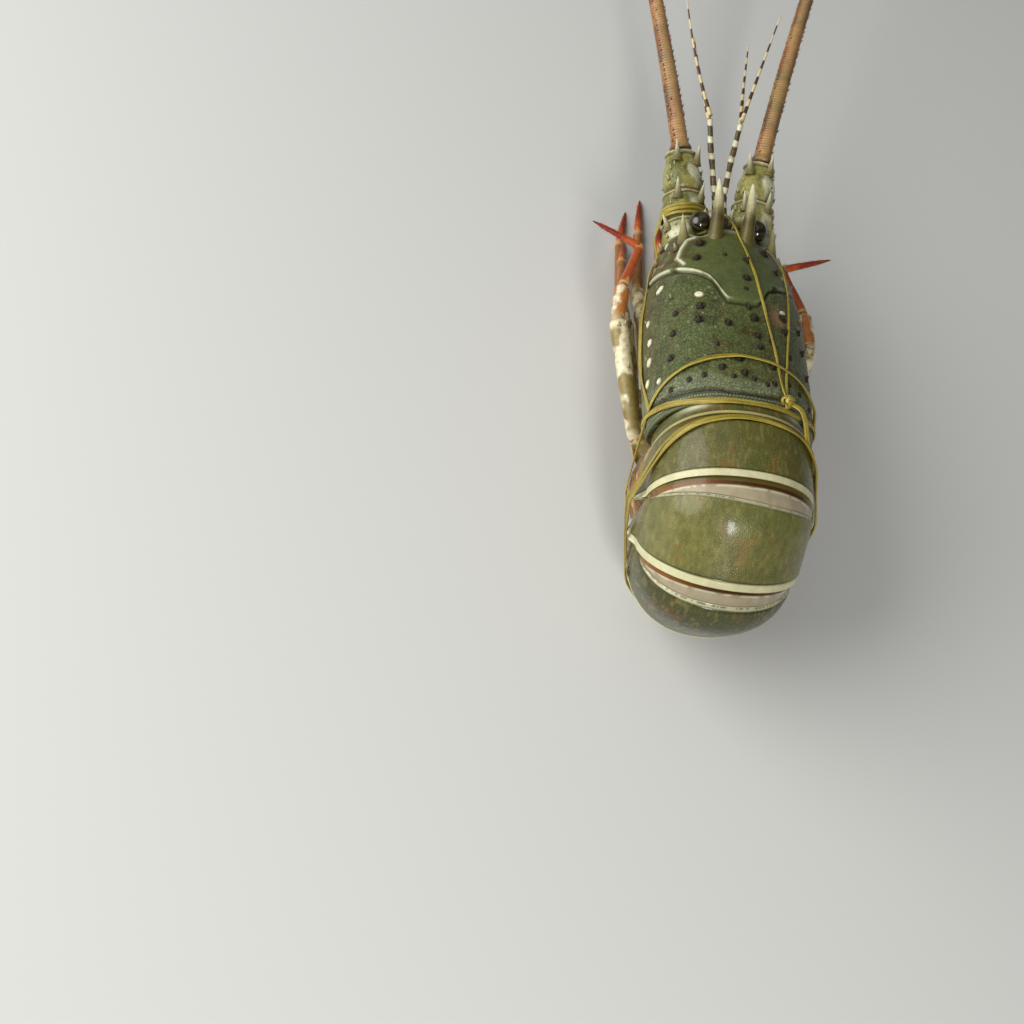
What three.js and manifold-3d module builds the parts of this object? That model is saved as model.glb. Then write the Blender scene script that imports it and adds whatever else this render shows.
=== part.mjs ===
// Spiny lobster, life size: a still model of a bound animal with its tail curled under.
// Millimetres. While building, +X is the animal's left, +Y runs towards the tail and +Z is up,
// and the origin is the hinge between carapace and tail. The whole is leant and lifted last.
import * as THREE from "three";
import { mergeVertices } from "three/addons/utils/BufferGeometryUtils.js";
import Module from "manifold-3d";

const wasm = await Module();
wasm.setup();

// Sizes
const CARAPACE_LENGTH = 100;
const HALF_WIDTH = [[0, 25.5], [0.08, 28.6], [0.25, 32.2], [0.45, 34.4], [0.8, 34.9], [1, 33.8]];
const BACK_HEIGHT = [[0, 16.5], [0.1, 18.8], [0.25, 21.8], [0.42, 24.6], [0.55, 25], [0.8, 25.2], [1, 24]];
const BELLY_LEVEL = [[0, -21], [0.1, -26], [0.3, -28], [0.9, -27.5], [1, -26]];
const WIDEST_LEVEL = -4;
const GROOVE = 0.485;
const GROOVE_DEPTH = 1.3;
const RIM_GROOVE = 0.955;

const SOMITE_LENGTH = [7.5, 20, 21.5, 20, 18, 24];
const SOMITE_BEND = [2, -12, -56, -112.4, -154, -188];
const SOMITE_HEIGHT = [29.6, 31, 31.6, 30, 27, 24];
const SOMITE_WIDTH = [62.8, 65.7, 67.2, 64.7, 59.5, 51.5];
const PLEURON_DEPTH = [6, 14.5, 15, 14.5, 13.5, 10];
const HINGE_LEVEL = -5.5;
const LAST_SOMITE_END = 0.82;
const BELLY_WALL = -2.5;
const FACET_STEP = 1.3;

const TELSON_BEND = -184;
const TELSON_SIZE = [50, 24, 2.2];
const ENDOPOD_SIZE = [47, 21, 1.7];
const EXOPOD_SIZE = [49, 25, 1.7];
const PLEOPOD_SIZE = [13, 12, 1];

const HORN_BASE = [6.8, -94.5, 14.5];
const HORN_TIP = [7.6, -119, 27.5];
const EYE_RADIUS = 5;
const EYE_CENTRE = [12.6, -104.8, 13.2];
const FLAGELLUM_LENGTH = 330;
const FLAGELLUM_RADIUS = 3.4;

const LEAN = 9;
const STAND_HEIGHT = 73.2;
const STAND_POINT = 19.6;
const FLAT_DEPTH = 0.5;
const GAP = 0.3;
const TRIM_GAP = 0.5;
const TWINE_SLACK = 0.4;
const TWINE = 1.1;
const KNOT_RADIUS = 3.4;
const WRAP_PLACES = [3.2, 4.6];
const BODY_LOOPS = [
  [[0, -21, 25], [0, 33, -70]],
  [[0, 0.8, 25], [0, -22, -62]],
  [[0, 9, 25], [0, 42, -60]],
];

const rad = THREE.MathUtils.degToRad;

// Small helpers
function curve(table, t) {
  const n = table.length;
  if (t <= table[0][0]) return table[0][1];
  for (let i = 1; i < n; i += 1) {
    if (t <= table[i][0]) {
      const k = (t - table[i - 1][0]) / (table[i][0] - table[i - 1][0]);
      return table[i - 1][1] + k * (table[i][1] - table[i - 1][1]);
    }
  }
  return table[n - 1][1];
}

const add = (a, b, k = 1) => [a[0] + b[0] * k, a[1] + b[1] * k, a[2] + b[2] * k];
const minus = (a, b) => [a[0] - b[0], a[1] - b[1], a[2] - b[2]];
const dot = (a, b) => a[0] * b[0] + a[1] * b[1] + a[2] * b[2];
const cross = (a, b) => [
  a[1] * b[2] - a[2] * b[1],
  a[2] * b[0] - a[0] * b[2],
  a[0] * b[1] - a[1] * b[0],
];
const size = (a) => Math.hypot(a[0], a[1], a[2]);
const unit = (a) => a.map((v) => v / size(a));
const mix = (a, b, k) => a.map((v, i) => v + (b[i] - v) * k);
const power = (v, e) => Math.sign(v) * Math.abs(v) ** e;
const bump = (t, centre, width) => Math.exp(-(((t - centre) / width) ** 2));

// A closed skin through rings of points, with a flat lid on each end.
function loft(rings) {
  const n = rings[0].length;
  const points = rings.flat();
  const faces = [];
  for (let i = 0; i + 1 < rings.length; i += 1) {
    for (let j = 0; j < n; j += 1) {
      const a = i * n + j;
      const b = i * n + ((j + 1) % n);
      const c = a + n;
      const d = b + n;
      if (size(minus(points[a], points[d])) < size(minus(points[b], points[c]))) {
        faces.push([a, b, d], [a, d, c]);
      } else {
        faces.push([a, b, c], [b, d, c]);
      }
    }
  }
  for (const [ring, first] of [[rings[0], 0], [rings[rings.length - 1], (rings.length - 1) * n]]) {
    faces.push(...lid(ring, first, first === 0));
  }
  return skin(points, faces);
}

function lid(ring, first, reversed) {
  let normal = [0, 0, 0];
  for (let j = 0; j < ring.length; j += 1) {
    normal = add(normal, cross(ring[j], ring[(j + 1) % ring.length]));
  }
  normal = unit(normal);
  const u = unit(cross(Math.abs(normal[0]) < 0.8 ? [1, 0, 0] : [0, 1, 0], normal));
  const v = cross(normal, u);
  const flat = ring.map((p) => new THREE.Vector2(dot(p, u), dot(p, v)));
  return THREE.ShapeUtils.triangulateShape(flat, []).map(([a, b, c]) => {
    const turn = flat[b].clone().sub(flat[a]).cross(flat[c].clone().sub(flat[a]));
    const face = turn > 0 ? [a, b, c] : [a, c, b];
    return (reversed ? [face[0], face[2], face[1]] : face).map((k) => k + first);
  });
}

function skin(points, faces) {
  let volume = 0;
  for (const [a, b, c] of faces) {
    volume += dot(points[a], cross(points[b], points[c]));
  }
  const order = volume < 0 ? faces.map(([a, b, c]) => [a, c, b]) : faces;
  const geometry = new THREE.BufferGeometry();
  geometry.setAttribute("position", new THREE.Float32BufferAttribute(points.flat(), 3));
  geometry.setIndex(order.flat());
  return geometry;
}

// Rings square to a path; section(i, count) gives [across, up] pairs.
function sweep(path, section, upHint = [0, 0, 1]) {
  const rings = [];
  let up = upHint;
  for (let i = 0; i < path.length; i += 1) {
    const along = unit(minus(path[Math.min(i + 1, path.length - 1)], path[Math.max(i - 1, 0)]));
    up = unit(minus(up, along.map((v) => v * dot(up, along))));
    const across = cross(along, up);
    rings.push(section(i).map(([a, b]) => add(add(path[i], across, a), up, b)));
  }
  return loft(rings);
}

function oval(a, b, sides, turn = 0) {
  return Array.from({ length: sides }, (_, j) => {
    const angle = turn + (j / sides) * 2 * Math.PI;
    return [a * Math.cos(angle), b * Math.sin(angle)];
  });
}

// A limb through [x, y, z, radius, flatness] stations.
function limb(stations, sides = 6, upHint = [0, 0, 1]) {
  return sweep(
    stations.map((s) => s.slice(0, 3)),
    (i) => oval(stations[i][3], stations[i][3] * (stations[i][4] ?? 1), sides, Math.PI / sides),
    upHint,
  );
}

// A blunt thorn rooted a little below the surface.
function thorn(foot, tip, radius, sides = 4) {
  const along = unit(minus(tip, foot));
  const root = add(foot, along, -1.2);
  return limb(
    [[...root, radius * 1.15], [...tip, 0.26]],
    sides,
    Math.abs(along[2]) > 0.9 ? [0, 1, 0] : [0, 0, 1],
  );
}

function solid(geometry) {
  const bare = new THREE.BufferGeometry();
  bare.setAttribute("position", geometry.getAttribute("position").clone());
  if (geometry.index) bare.setIndex(geometry.index.clone());
  const welded = mergeVertices(bare, 1e-4);
  return new wasm.Manifold(new wasm.Mesh({
    numProp: 3,
    vertProperties: new Float32Array(welded.getAttribute("position").array),
    triVerts: new Uint32Array(welded.index.array),
  }));
}

function geometryOf(body) {
  const mesh = body.getMesh();
  const geometry = new THREE.BufferGeometry();
  const points = new Float32Array((mesh.vertProperties.length / mesh.numProp) * 3);
  for (let i = 0; i < points.length / 3; i += 1) {
    for (let k = 0; k < 3; k += 1) points[i * 3 + k] = mesh.vertProperties[i * mesh.numProp + k];
  }
  geometry.setAttribute("position", new THREE.BufferAttribute(points, 3));
  geometry.setIndex(new THREE.BufferAttribute(new Uint32Array(mesh.triVerts), 1));
  return geometry;
}

// The same body with its skin moved outwards, further at sharp edges so that each face clears the gap.
function grown(geometry) {
  const welded = mergeVertices(geometryOf(solid(geometry)), 1e-4);
  welded.computeVertexNormals();
  const points = welded.getAttribute("position");
  const normals = welded.getAttribute("normal");
  const at = (attribute, i) => [attribute.getX(i), attribute.getY(i), attribute.getZ(i)];
  const spread = new Array(points.count).fill(1);
  const index = welded.index.array;
  for (let i = 0; i < index.length; i += 3) {
    const [a, b, c] = [0, 1, 2].map((k) => at(points, index[i + k]));
    const face = cross(minus(b, a), minus(c, a));
    if (size(face) > 1e-6) {
      for (let k = 0; k < 3; k += 1) {
        const corner = index[i + k];
        spread[corner] = Math.min(spread[corner], dot(at(normals, corner), unit(face)));
      }
    }
  }
  for (let i = 0; i < points.count; i += 1) {
    points.setXYZ(i, ...add(at(points, i), at(normals, i), TRIM_GAP / Math.max(spread[i], 0.35)));
  }
  welded.deleteAttribute("normal");
  return welded;
}

function joined(...geometries) {
  return geometryOf(geometries.map(solid).reduce((a, b) => a.add(b)));
}

// Cuts a piece back so that it stands clear of the others, and keeps its largest lump.
function clearOf(geometry, others) {
  let body = solid(geometry);
  for (const other of others) {
    const block = solid(other);
    body = body.subtract(solid(grown(other)));
    if (body.intersect(block).volume() > 0) {
      for (const shift of [[0, -GAP, 0], [0, 0, GAP]]) body = body.subtract(block.translate(shift));
    }
  }
  const lumps = body.decompose().sort((a, b) => b.volume() - a.volume());
  return geometryOf(lumps[0]);
}

function mirrored(geometry) {
  const copy = geometry.clone();
  copy.scale(-1, 1, 1);
  const index = copy.index.array;
  for (let i = 0; i < index.length; i += 3) [index[i + 1], index[i + 2]] = [index[i + 2], index[i + 1]];
  return copy;
}

// Carapace
// The neck groove lies far back on the midline and runs forward on each side.
const grooveStation = (angle) => curve(
  [[0, GROOVE], [0.14, GROOVE], [0.38, 0.33], [0.7, 0.26], [1.6, 0.2], [3.2, 0.12]],
  Math.abs(angle),
);

function carapaceStation(t, angle) {
  const g = grooveStation(angle);
  return t < GROOVE ? (t / GROOVE) * g : g + ((t - GROOVE) / (1 - GROOVE)) * (1 - g);
}

function carapacePoint(t, angle, lift = 0) {
  const s = carapaceStation(t, angle);
  const c = Math.cos(angle);
  const half = curve(HALF_WIDTH, s);
  const back = curve(BACK_HEIGHT, s);
  const belly = curve(BELLY_LEVEL, s);
  const groove = GROOVE_DEPTH * bump(t, GROOVE, 0.018) * Math.max(0, Math.min(1, 1.6 + c * 2));
  const rim = 0.9 * bump(t, RIM_GROOVE, 0.014) * Math.max(0, Math.min(1, 1 + c * 2));
  const out = lift - groove - rim;
  const x = power(Math.sin(angle), 0.93) * (half + out) * (c < 0 ? 1 - 0.2 * c * c : 1);
  const z = c >= 0
    ? WIDEST_LEVEL + (back - WIDEST_LEVEL + out) * power(c, 0.93)
    : WIDEST_LEVEL + (WIDEST_LEVEL - belly + out) * power(c, 0.8);
  const mouth = 9 * (1 - s) ** 3 * Math.max(0, -c);
  const corner = 9 * s ** 4 * Math.max(0, -c) ** 1.5;
  const brow = 4.5 * (1 - s) ** 9 * bump(Math.abs(angle), 0.5, 0.24);
  return [x, -CARAPACE_LENGTH * (1 - s) + mouth - corner + brow, z];
}

function carapaceNormal(t, angle) {
  const a = minus(carapacePoint(t + 0.004, angle), carapacePoint(t - 0.004, angle));
  const b = minus(carapacePoint(t, angle + 0.01), carapacePoint(t, angle - 0.01));
  return unit(cross(a, b)).map((v) => -v);
}

function carapace() {
  const stations = [0, 0.08, 0.2, 0.34, 0.46, 0.485, 0.51, 0.64, 0.8, 0.94, 0.955, 0.97, 1];
  const sides = 22;
  const rings = stations.map((t) => Array.from({ length: sides }, (_, j) => (
    carapacePoint(t, ((j + 0.5) / sides) * 2 * Math.PI - Math.PI))));
  const thorns = [];
  const rows = [
    [0.1, [0.2, 0.33, 0.4, 0.56, 0.65, 0.72]],
    [0.52, [0.12, 0.33, 0.58, 0.66]],
    [0.86, [0.7]],
    [0.22, [0.88]],
    [0.6, [0.9]],
    [1.4, [0.65, 0.78]],
  ];
  for (const [angle, list] of rows) {
    for (const t of list) {
      for (const side of [-1, 1]) {
        const foot = carapacePoint(t, angle * side);
        const out = carapaceNormal(t, angle * side);
        const lean = unit(add(out, [0, -1, 0], 0.9));
        thorns.push(thorn(foot, add(foot, lean, 2.6), 1.35, 3));
      }
    }
  }
  for (const side of [-1, 1]) {
    thorns.push(thorn([19.4 * side, -94, 9.5], [20.4 * side, -107.5, 14], 3, 5));
  }
  return joined(loft(rings), ...thorns);
}

// Tail
const hinges = SOMITE_LENGTH.reduce((list, length, k) => {
  const [y, z] = list[k];
  const angle = rad(SOMITE_BEND[k]);
  list.push([y + length * Math.cos(angle), z + length * Math.sin(angle)]);
  return list;
}, [[0, HINGE_LEVEL]]);

const HINGE_ALLOWANCE = 3;
const HIND_SHARE = 0.02;
const FACET_LENGTH = [2.5, 7.5, 9.5, 9, 8, 7];
const MARGIN_WIDTH = 2.8;

// The bend at each joint, shared between the hind edge of one segment and the facet of the next.
function somiteBends(k) {
  const bend = SOMITE_BEND[k];
  const before = k > 0 ? (SOMITE_BEND[k - 1] - bend) * (1 - HIND_SHARE) : HINGE_ALLOWANCE;
  const after = k < 5 ? (bend - SOMITE_BEND[k + 1]) * HIND_SHARE : 0;
  return [rad(before), rad(after)];
}

function somiteFrame(k) {
  const angle = rad(SOMITE_BEND[k]);
  return {
    base: [0, ...hinges[k]],
    along: [0, Math.cos(angle), Math.sin(angle)],
    up: [0, -Math.sin(angle), Math.cos(angle)],
  };
}

// A point of a segment: height is measured from the hinge line and q runs from its front to its
// hind edge, round the front hinge, straight along the segment, then round the hind hinge.
function somitePoint(k, x, height, q) {
  const { base, along, up } = somiteFrame(k);
  const [before, after] = somiteBends(k);
  const length = SOMITE_LENGTH[k];
  let a = 0;
  let v = height;
  if (height <= 0) {
    const from = -height * Math.tan(before);
    const to = length + height * Math.tan(after);
    a = from + (to - from) * q;
  } else {
    const run = q * (height * (before + after) + length);
    const first = height * before;
    if (run < first) {
      const turn = before - run / height;
      a = -height * Math.sin(turn);
      v = height * Math.cos(turn);
    } else if (run < first + length) {
      a = run - first;
    } else {
      const turn = (run - first - length) / height;
      a = length + height * Math.sin(turn);
      v = height * Math.cos(turn);
    }
  }
  return add(add(add(base, along, a), up, v), [1, 0, 0], x);
}

// s is 0 at the front edge, 0.3 at the groove behind the facet, 0.85 where the pale hind margin
// begins and 1 at the hind edge; rise is the cosine of the place on the arch, 0 on the sides.
function somiteRun(k, s, rise) {
  const [before, after] = somiteBends(k);
  const total = SOMITE_HEIGHT[k] * rise * (before + after) + SOMITE_LENGTH[k];
  const facet = (0.5 + FACET_LENGTH[k] * rise ** 0.7) / total;
  const margin = MARGIN_WIDTH / total;
  return curve([[0, 0], [0.3, facet], [0.85, 1 - margin], [1, 1]], s);
}

function somiteShape(k, s) {
  const next = Math.min(k + 1, 5);
  const half = (SOMITE_WIDTH[k] * (1 - s * 0.35) + SOMITE_WIDTH[next] * s * 0.35) / 2;
  const height = SOMITE_HEIGHT[k] * (1 - s * 0.35) + SOMITE_HEIGHT[next] * s * 0.35;
  const taper = k === 5 ? 1 - (1 - LAST_SOMITE_END) * s ** 1.5 : 1;
  const dome = (k === 0 ? 0.3 : 0.9) * Math.sin(Math.PI * Math.max(0, (s - 0.3) / 0.7) ** 0.8);
  const step = FACET_STEP * (1 - THREE.MathUtils.smoothstep(s, 0.26, 0.34));
  const lip = 0.4 * THREE.MathUtils.smoothstep(s, 0.7, 0.85);
  const depth = Math.max(5.5, PLEURON_DEPTH[k] * (0.3 + 0.7 * Math.sin(Math.PI * s ** 1.2) ** 0.8));
  return { half: half * taper, height: height * taper, lift: dome - step + lip, depth };
}

function somiteRing(k, s) {
  const { half, height, lift, depth } = somiteShape(k, s);
  const arch = 11;
  const flat = [];
  for (let j = 0; j < arch; j += 1) {
    const angle = -Math.PI / 2 + (j / (arch - 1)) * Math.PI;
    const rise = Math.max(0, Math.cos(angle));
    flat.push([(half + lift * 0.4) * power(Math.sin(angle), 0.92), (height + lift) * rise ** 0.92, rise]);
  }
  const side = half + lift * 0.4;
  const wing = [
    [side - 0.5, -0.45 * depth, 0],
    [side - 2.2, -0.82 * depth, 0],
    [side - 4, -depth, 0],
    [side - 5.2, BELLY_WALL - 0.4, 0],
    [side - 9, BELLY_WALL, 0],
  ];
  flat.push(...wing, [0, BELLY_WALL, 0], ...wing.map(([x, v]) => [-x, v, 0]).reverse());
  const [before, after] = somiteBends(k);
  const { along, up } = somiteFrame(k);
  const ends = s === 0
    ? add(along.map((c) => c * Math.cos(before)), up, Math.sin(before))
    : add(along.map((c) => c * Math.cos(after)), up, -Math.sin(after));
  const shift = s === 0 ? GAP / 2 : s === 1 ? -GAP / 2 : 0;
  return flat.map(([x, v, rise]) => add(somitePoint(k, x, v, somiteRun(k, s, rise)), ends, shift));
}

function pleopod(k, side) {
  const { along, up } = somiteFrame(k);
  const [length, width, thick] = PLEOPOD_SIZE;
  const root = somitePoint(k, side * 15, BELLY_WALL + 1.5, 0.5);
  const way = unit(add(add(along, up, -0.75), [1, 0, 0], -side * 0.25));
  return sweep(
    [0, 0.5, 1].map((f) => add(root, way, length * f)),
    (i) => oval([0.28, 0.5, 0.3][i] * width, thick * 0.6, 4),
    up,
  );
}

function somite(k) {
  const middle = k === 0 ? [] : k < 4 ? [0.5, 0.68] : [0.6];
  const stations = [0, 0.26, 0.34, ...middle, 0.85, 1];
  const body = loft(stations.map((s) => somiteRing(k, s)));
  if (k < 1 || k > 4) return body;
  return joined(body, pleopod(k, 1), pleopod(k, -1));
}

// A fan blade: rings along its length, on the given line, thin across its face.
function blade(root, way, face, [length, width, thick], outline) {
  const path = outline.map(([f]) => add(root, way, length * f));
  return sweep(path, (i) => oval(outline[i][1] * width, outline[i][2] * thick / 2, 8), face);
}

function fan() {
  const end = [0, ...hinges[6]];
  const telsonAngle = rad(TELSON_BEND);
  const way = [0, Math.cos(telsonAngle), Math.sin(telsonAngle)];
  const face = [0, -Math.sin(telsonAngle), Math.cos(telsonAngle)];
  const last = somiteFrame(5);
  const at = (x, v, out) => add(add(add(end, last.up, v), [1, 0, 0], x), last.along, out);
  const shape = [
    [0, 0.3, 1], [0.18, 0.42, 1], [0.5, 0.5, 0.85], [0.8, 0.49, 0.7], [0.95, 0.4, 0.6], [1, 0.24, 0.5],
  ];
  const telson = blade(at(0, 12, 0.9), way, face, TELSON_SIZE, shape);
  const blades = {};
  for (const [name, x, v, turn, dims] of [
    ["endopod", 10, 9, 3, ENDOPOD_SIZE],
    ["exopod", 12, 6, 5.5, EXOPOD_SIZE],
  ]) {
    const t = rad(turn);
    const direction = unit(add(way.map((c) => c * Math.cos(t)), [1, 0, 0], Math.sin(t)));
    blades[name] = blade(at(x, v, 1), direction, face, dims, shape);
  }
  return { telson, ...blades };
}

// Head
function horn() {
  const [x0, y0, z0] = HORN_BASE;
  const [x1, y1, z1] = HORN_TIP;
  const rise = [0, 0.32, 0.62, 0.86, 1];
  const radius = [3.6, 2.7, 2.05, 1.2, 0.3];
  return limb(rise.map((f, i) => [
    x0 + (x1 - x0) * f,
    y0 + (y1 - y0) * f,
    z0 + (z1 - z0) * (f + 0.16 * Math.sin(Math.PI * f)),
    radius[i],
    1.25,
  ]), 6);
}

function eye() {
  const ball = new THREE.SphereGeometry(EYE_RADIUS, 9, 7);
  ball.scale(1, 1.1, 0.95);
  ball.translate(...EYE_CENTRE);
  const stalk = limb([[7.8, -97.5, 7.6, 2.4], [9.8, -101.2, 10.4, 2.8], [...EYE_CENTRE, 3.4]], 5);
  return joined(ball, stalk);
}

function antennularPlate() {
  const body = sweep(
    [[0, -100.9, 6], [0, -107, 6.6], [0, -114, 6], [0, -117, 4.5]],
    (i) => oval([6.4, 5.2, 4.2, 3.2][i], [4.2, 3.8, 3, 1.8][i], 8),
  );
  return joined(
    body,
    thorn([2.6, -110, 9], [3, -117, 12.5], 1.4),
    thorn([-2.6, -110, 9], [-3, -117, 12.5], 1.4),
  );
}

// Two stacked whips on a jointed stem.
function antennule() {
  const stem = limb([
    [1.9, -117.6, 2.6, 1.5],
    [2, -131, 4.8, 1.5],
    [2.1, -132.5, 5.1, 1.2],
    [2.4, -134, 5.5, 1.5],
    [4.6, -149, 11, 1.5],
    [4.8, -150.2, 11.4, 1.15],
    [5.1, -151.6, 12, 1.45],
    [7.2, -164, 19, 1.35],
  ], 6);
  const whip = (dx, dz, bow) => limb([0, 0.25, 0.5, 0.75, 1].map((f) => [
    7.35 + dx * f,
    -164.9 - 52 * f,
    19.5 + 1.1 * Math.sign(dz) + dz * f + bow * f * f,
    1.0 - 0.68 * f,
  ]), 4);
  return { stem, outer: whip(15, 8, 12), inner: whip(6, -1, 4) };
}

const STEM_JOINT = 1.1;
const STEM_AXIS = [[13.8, -99.5, -3.4], [14.8, -115.5, -0.6], [16.2, -130, 3], [18.6, -150.5, 9.4]];

function antennaStem(k) {
  const [from, to] = [STEM_AXIS[k], STEM_AXIS[k + 1]];
  const radius = [[9.8, 10.6, 9.6], [9.9, 10, 8.9], [8.8, 8.4, 6.6]][k];
  const way = unit(minus(to, from));
  const start = add(from, way, STEM_JOINT);
  const end = add(to, way, -STEM_JOINT);
  const flat = [0.98, 0.9, 0.88][k];
  const trunk = limb([
    [...start, radius[0] * 0.86, flat],
    [...mix(start, end, 0.16), radius[0], flat],
    [...mix(start, end, 0.55), radius[1], flat],
    [...mix(start, end, 0.86), radius[2] * 1.04, flat],
    [...end, radius[2] * 0.88, flat],
  ], 8);
  const thorns = [
    [[[9.4, -109, 6.4], [8.8, -116.5, 10.8]], [[23.2, -109, 2], [26.2, -116, 3.6]]],
    [[[10.4, -123, 8.2], [9.4, -130, 12.6]], [[20.6, -123.5, 8.8], [21.4, -131, 13]]],
    [[[12.6, -142, 12.6], [11.6, -150, 16.8]], [[21.4, -142.5, 13], [22.4, -150.4, 17]]],
  ][k].map(([foot, tip]) => thorn(foot, tip, 1.9, 4));
  return joined(trunk, ...thorns);
}

function antennaWhip() {
  const [x, y, z] = STEM_AXIS[3];
  const stations = [0, 0.02, 0.08, 0.2, 0.35, 0.5, 0.65, 0.8, 0.92, 1].map((f) => [
    x + 0.2 + 62 * f + 26 * f * f,
    y - 0.5 - FLAGELLUM_LENGTH * f * (0.96 - 0.05 * f),
    z + 1 + 96 * f - 12 * f * f,
    f < 0.01 ? FLAGELLUM_RADIUS * 1.35 : FLAGELLUM_RADIUS * (1 - f) ** 0.8 + 0.55,
  ]);
  return limb(stations, 6);
}

function sternum() {
  return sweep(
    [[0, -76, -30.4], [0, -60, -31.2], [0, -36, -31.4], [0, -12, -31], [0, -4, -30]],
    (i) => {
      const half = [5, 8, 11, 13.5, 12][i];
      return [[half, 1.9], [half * 0.85, -1.8], [-half * 0.85, -1.8], [-half, 1.9]];
    },
  );
}

function mouthparts() {
  return sweep(
    [[0, -79, -31], [0, -86, -31], [0, -93, -29.5], [0, -97, -26.5]],
    (i) => oval([9, 10.5, 9.5, 6][i], [2.6, 4, 4.4, 3][i], 10),
  );
}

function maxilliped() {
  return limb([
    [7.4, -71, -36.5, 3],
    [8.2, -80, -39.5, 3.2, 0.75],
    [8.4, -92, -40, 3, 0.75],
    [8, -101, -38.5, 2.6],
    [7.6, -110, -34.5, 2.3],
    [6.4, -117, -28.6, 1.5],
    [5.6, -120, -25.6, 0.5],
  ], 6);
}

// Legs
const lean = rad(LEAN);
const floorLevel = (y) => -(STAND_HEIGHT + y * Math.sin(lean)) / Math.cos(lean);
const onFloor = (x, y, radius) => [x, y, floorLevel(y) + (radius - FLAT_DEPTH) / Math.cos(lean)];

// Coxa, ischium end, knee, wrist, hand end and claw tip of the left legs, front to back.
const LEGS = [
  { coxa: [7.5, -67, -36.5], hip: [14, -73, -42], knee: [12.5, -106, -50],
    wrist: onFloor(12, -121, 2.6), hand: onFloor(12, -147, 2.1), claw: onFloor(11.4, -160, 0.6),
    merus: 3.9 },
  { coxa: [10, -54, -36.5], hip: [22.5, -60, -41.5], knee: [22.3, -103, -45.6],
    wrist: onFloor(22.3, -121, 2.6), hand: onFloor(22.4, -155, 2.2), claw: onFloor(21.6, -174, 0.6),
    merus: 4 },
  { coxa: [13, -40, -36.5], hip: [30, -45, -38], knee: [32.4, -89, -40],
    wrist: [32.4, -107, -47.6], hand: onFloor(31.4, -147, 2.1), claw: onFloor(28.6, -166, 0.6),
    merus: 3.9 },
  { coxa: [16, -26, -35.6], hip: [31, -31, -34], knee: [36.5, -72, -29.5],
    wrist: [35.6, -90, -32.5], hand: [33, -127, -40], claw: [30.4, -144, -45], merus: 3.8 },
  { coxa: [18.8, -12, -34.6], hip: [31, -17, -32.4], knee: [43, -66, -12.5],
    wrist: [41, -83, -10.5], hand: [32.6, -108, -10.5], claw: [55, -115, -6.5], merus: 3.7 },
];

function legParts({ coxa, hip, knee, wrist, hand, claw, merus }) {
  const hipWay = unit(minus(hip, coxa));
  const thigh = unit(minus(knee, hip));
  const shank = unit(minus(wrist.slice(0, 3), knee));
  const palm = unit(minus(hand.slice(0, 3), wrist.slice(0, 3)));
  const W = wrist.slice(0, 3);
  const P = hand.slice(0, 3);
  const C = claw.slice(0, 3);
  const upper = limb([
    [...add(coxa, hipWay, -2.5), merus * 1.1],
    [...add(coxa, hipWay, 2), merus * 1.22],
    [...mix(hip, knee, 0.06), merus * 0.82],
    [...mix(hip, knee, 0.2), merus],
    [...mix(hip, knee, 0.8), merus * 1.02],
    [...add(knee, thigh, -1.2), merus * 0.86],
  ], 6);
  const slim = merus * 0.6;
  const lower = limb([
    [...add(knee, shank, 0.9), merus * 0.74],
    [...mix(knee, W, 0.45), merus * 0.9],
    [...add(W, shank, -1.6), slim * 1.12],
    [...add(W, palm, 1.8), slim],
    [...add(P, palm, -1.2), slim * 0.92],
    [...mix(P, C, 0.14), slim * 0.78],
    [...mix(P, C, 0.6), slim * 0.52],
    [...C, 0.42],
  ], 6);
  return { upper, lower };
}

// Twine
// The convex outline round flat points, thinned and moved off by the twine's own radius and a gap.
function outline(points) {
  const turn = (a, b, c) => (b[0] - a[0]) * (c[1] - a[1]) - (b[1] - a[1]) * (c[0] - a[0]);
  const half = (list) => list.reduce((kept, p) => {
    while (kept.length > 1 && turn(kept[kept.length - 2], kept[kept.length - 1], p) <= 0) kept.pop();
    return [...kept, p];
  }, []);
  const sorted = [...points].sort((a, b) => a[0] - b[0] || a[1] - b[1]);
  const hull = [...half(sorted).slice(0, -1), ...half([...sorted].reverse()).slice(0, -1)];
  const closed = [...hull, hull[0]];
  const slack = (i, j) => {
    const chord = minus([...closed[j], 0], [...closed[i], 0]);
    const off = closed.slice(i + 1, j).map((p) => Math.abs(turn(closed[i], closed[j], p)) / size(chord));
    return Math.max(0, ...off);
  };
  const loop = [];
  for (let i = 0; i < hull.length;) {
    loop.push(hull[i]);
    let j = i + 1;
    while (j + 1 < closed.length && slack(i, j + 1) < TWINE_SLACK) j += 1;
    i = j;
  }
  return loop.map((p, i) => {
    const a = loop[(i + loop.length - 1) % loop.length];
    const b = loop[(i + 1) % loop.length];
    const before = unit([p[1] - a[1], a[0] - p[0], 0]);
    const after = unit([b[1] - p[1], p[0] - b[0], 0]);
    const off = (TWINE + 2 * GAP) / (1 + dot(before, after));
    return [p[0] + (before[0] + after[0]) * off, p[1] + (before[1] + after[1]) * off];
  });
}

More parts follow.
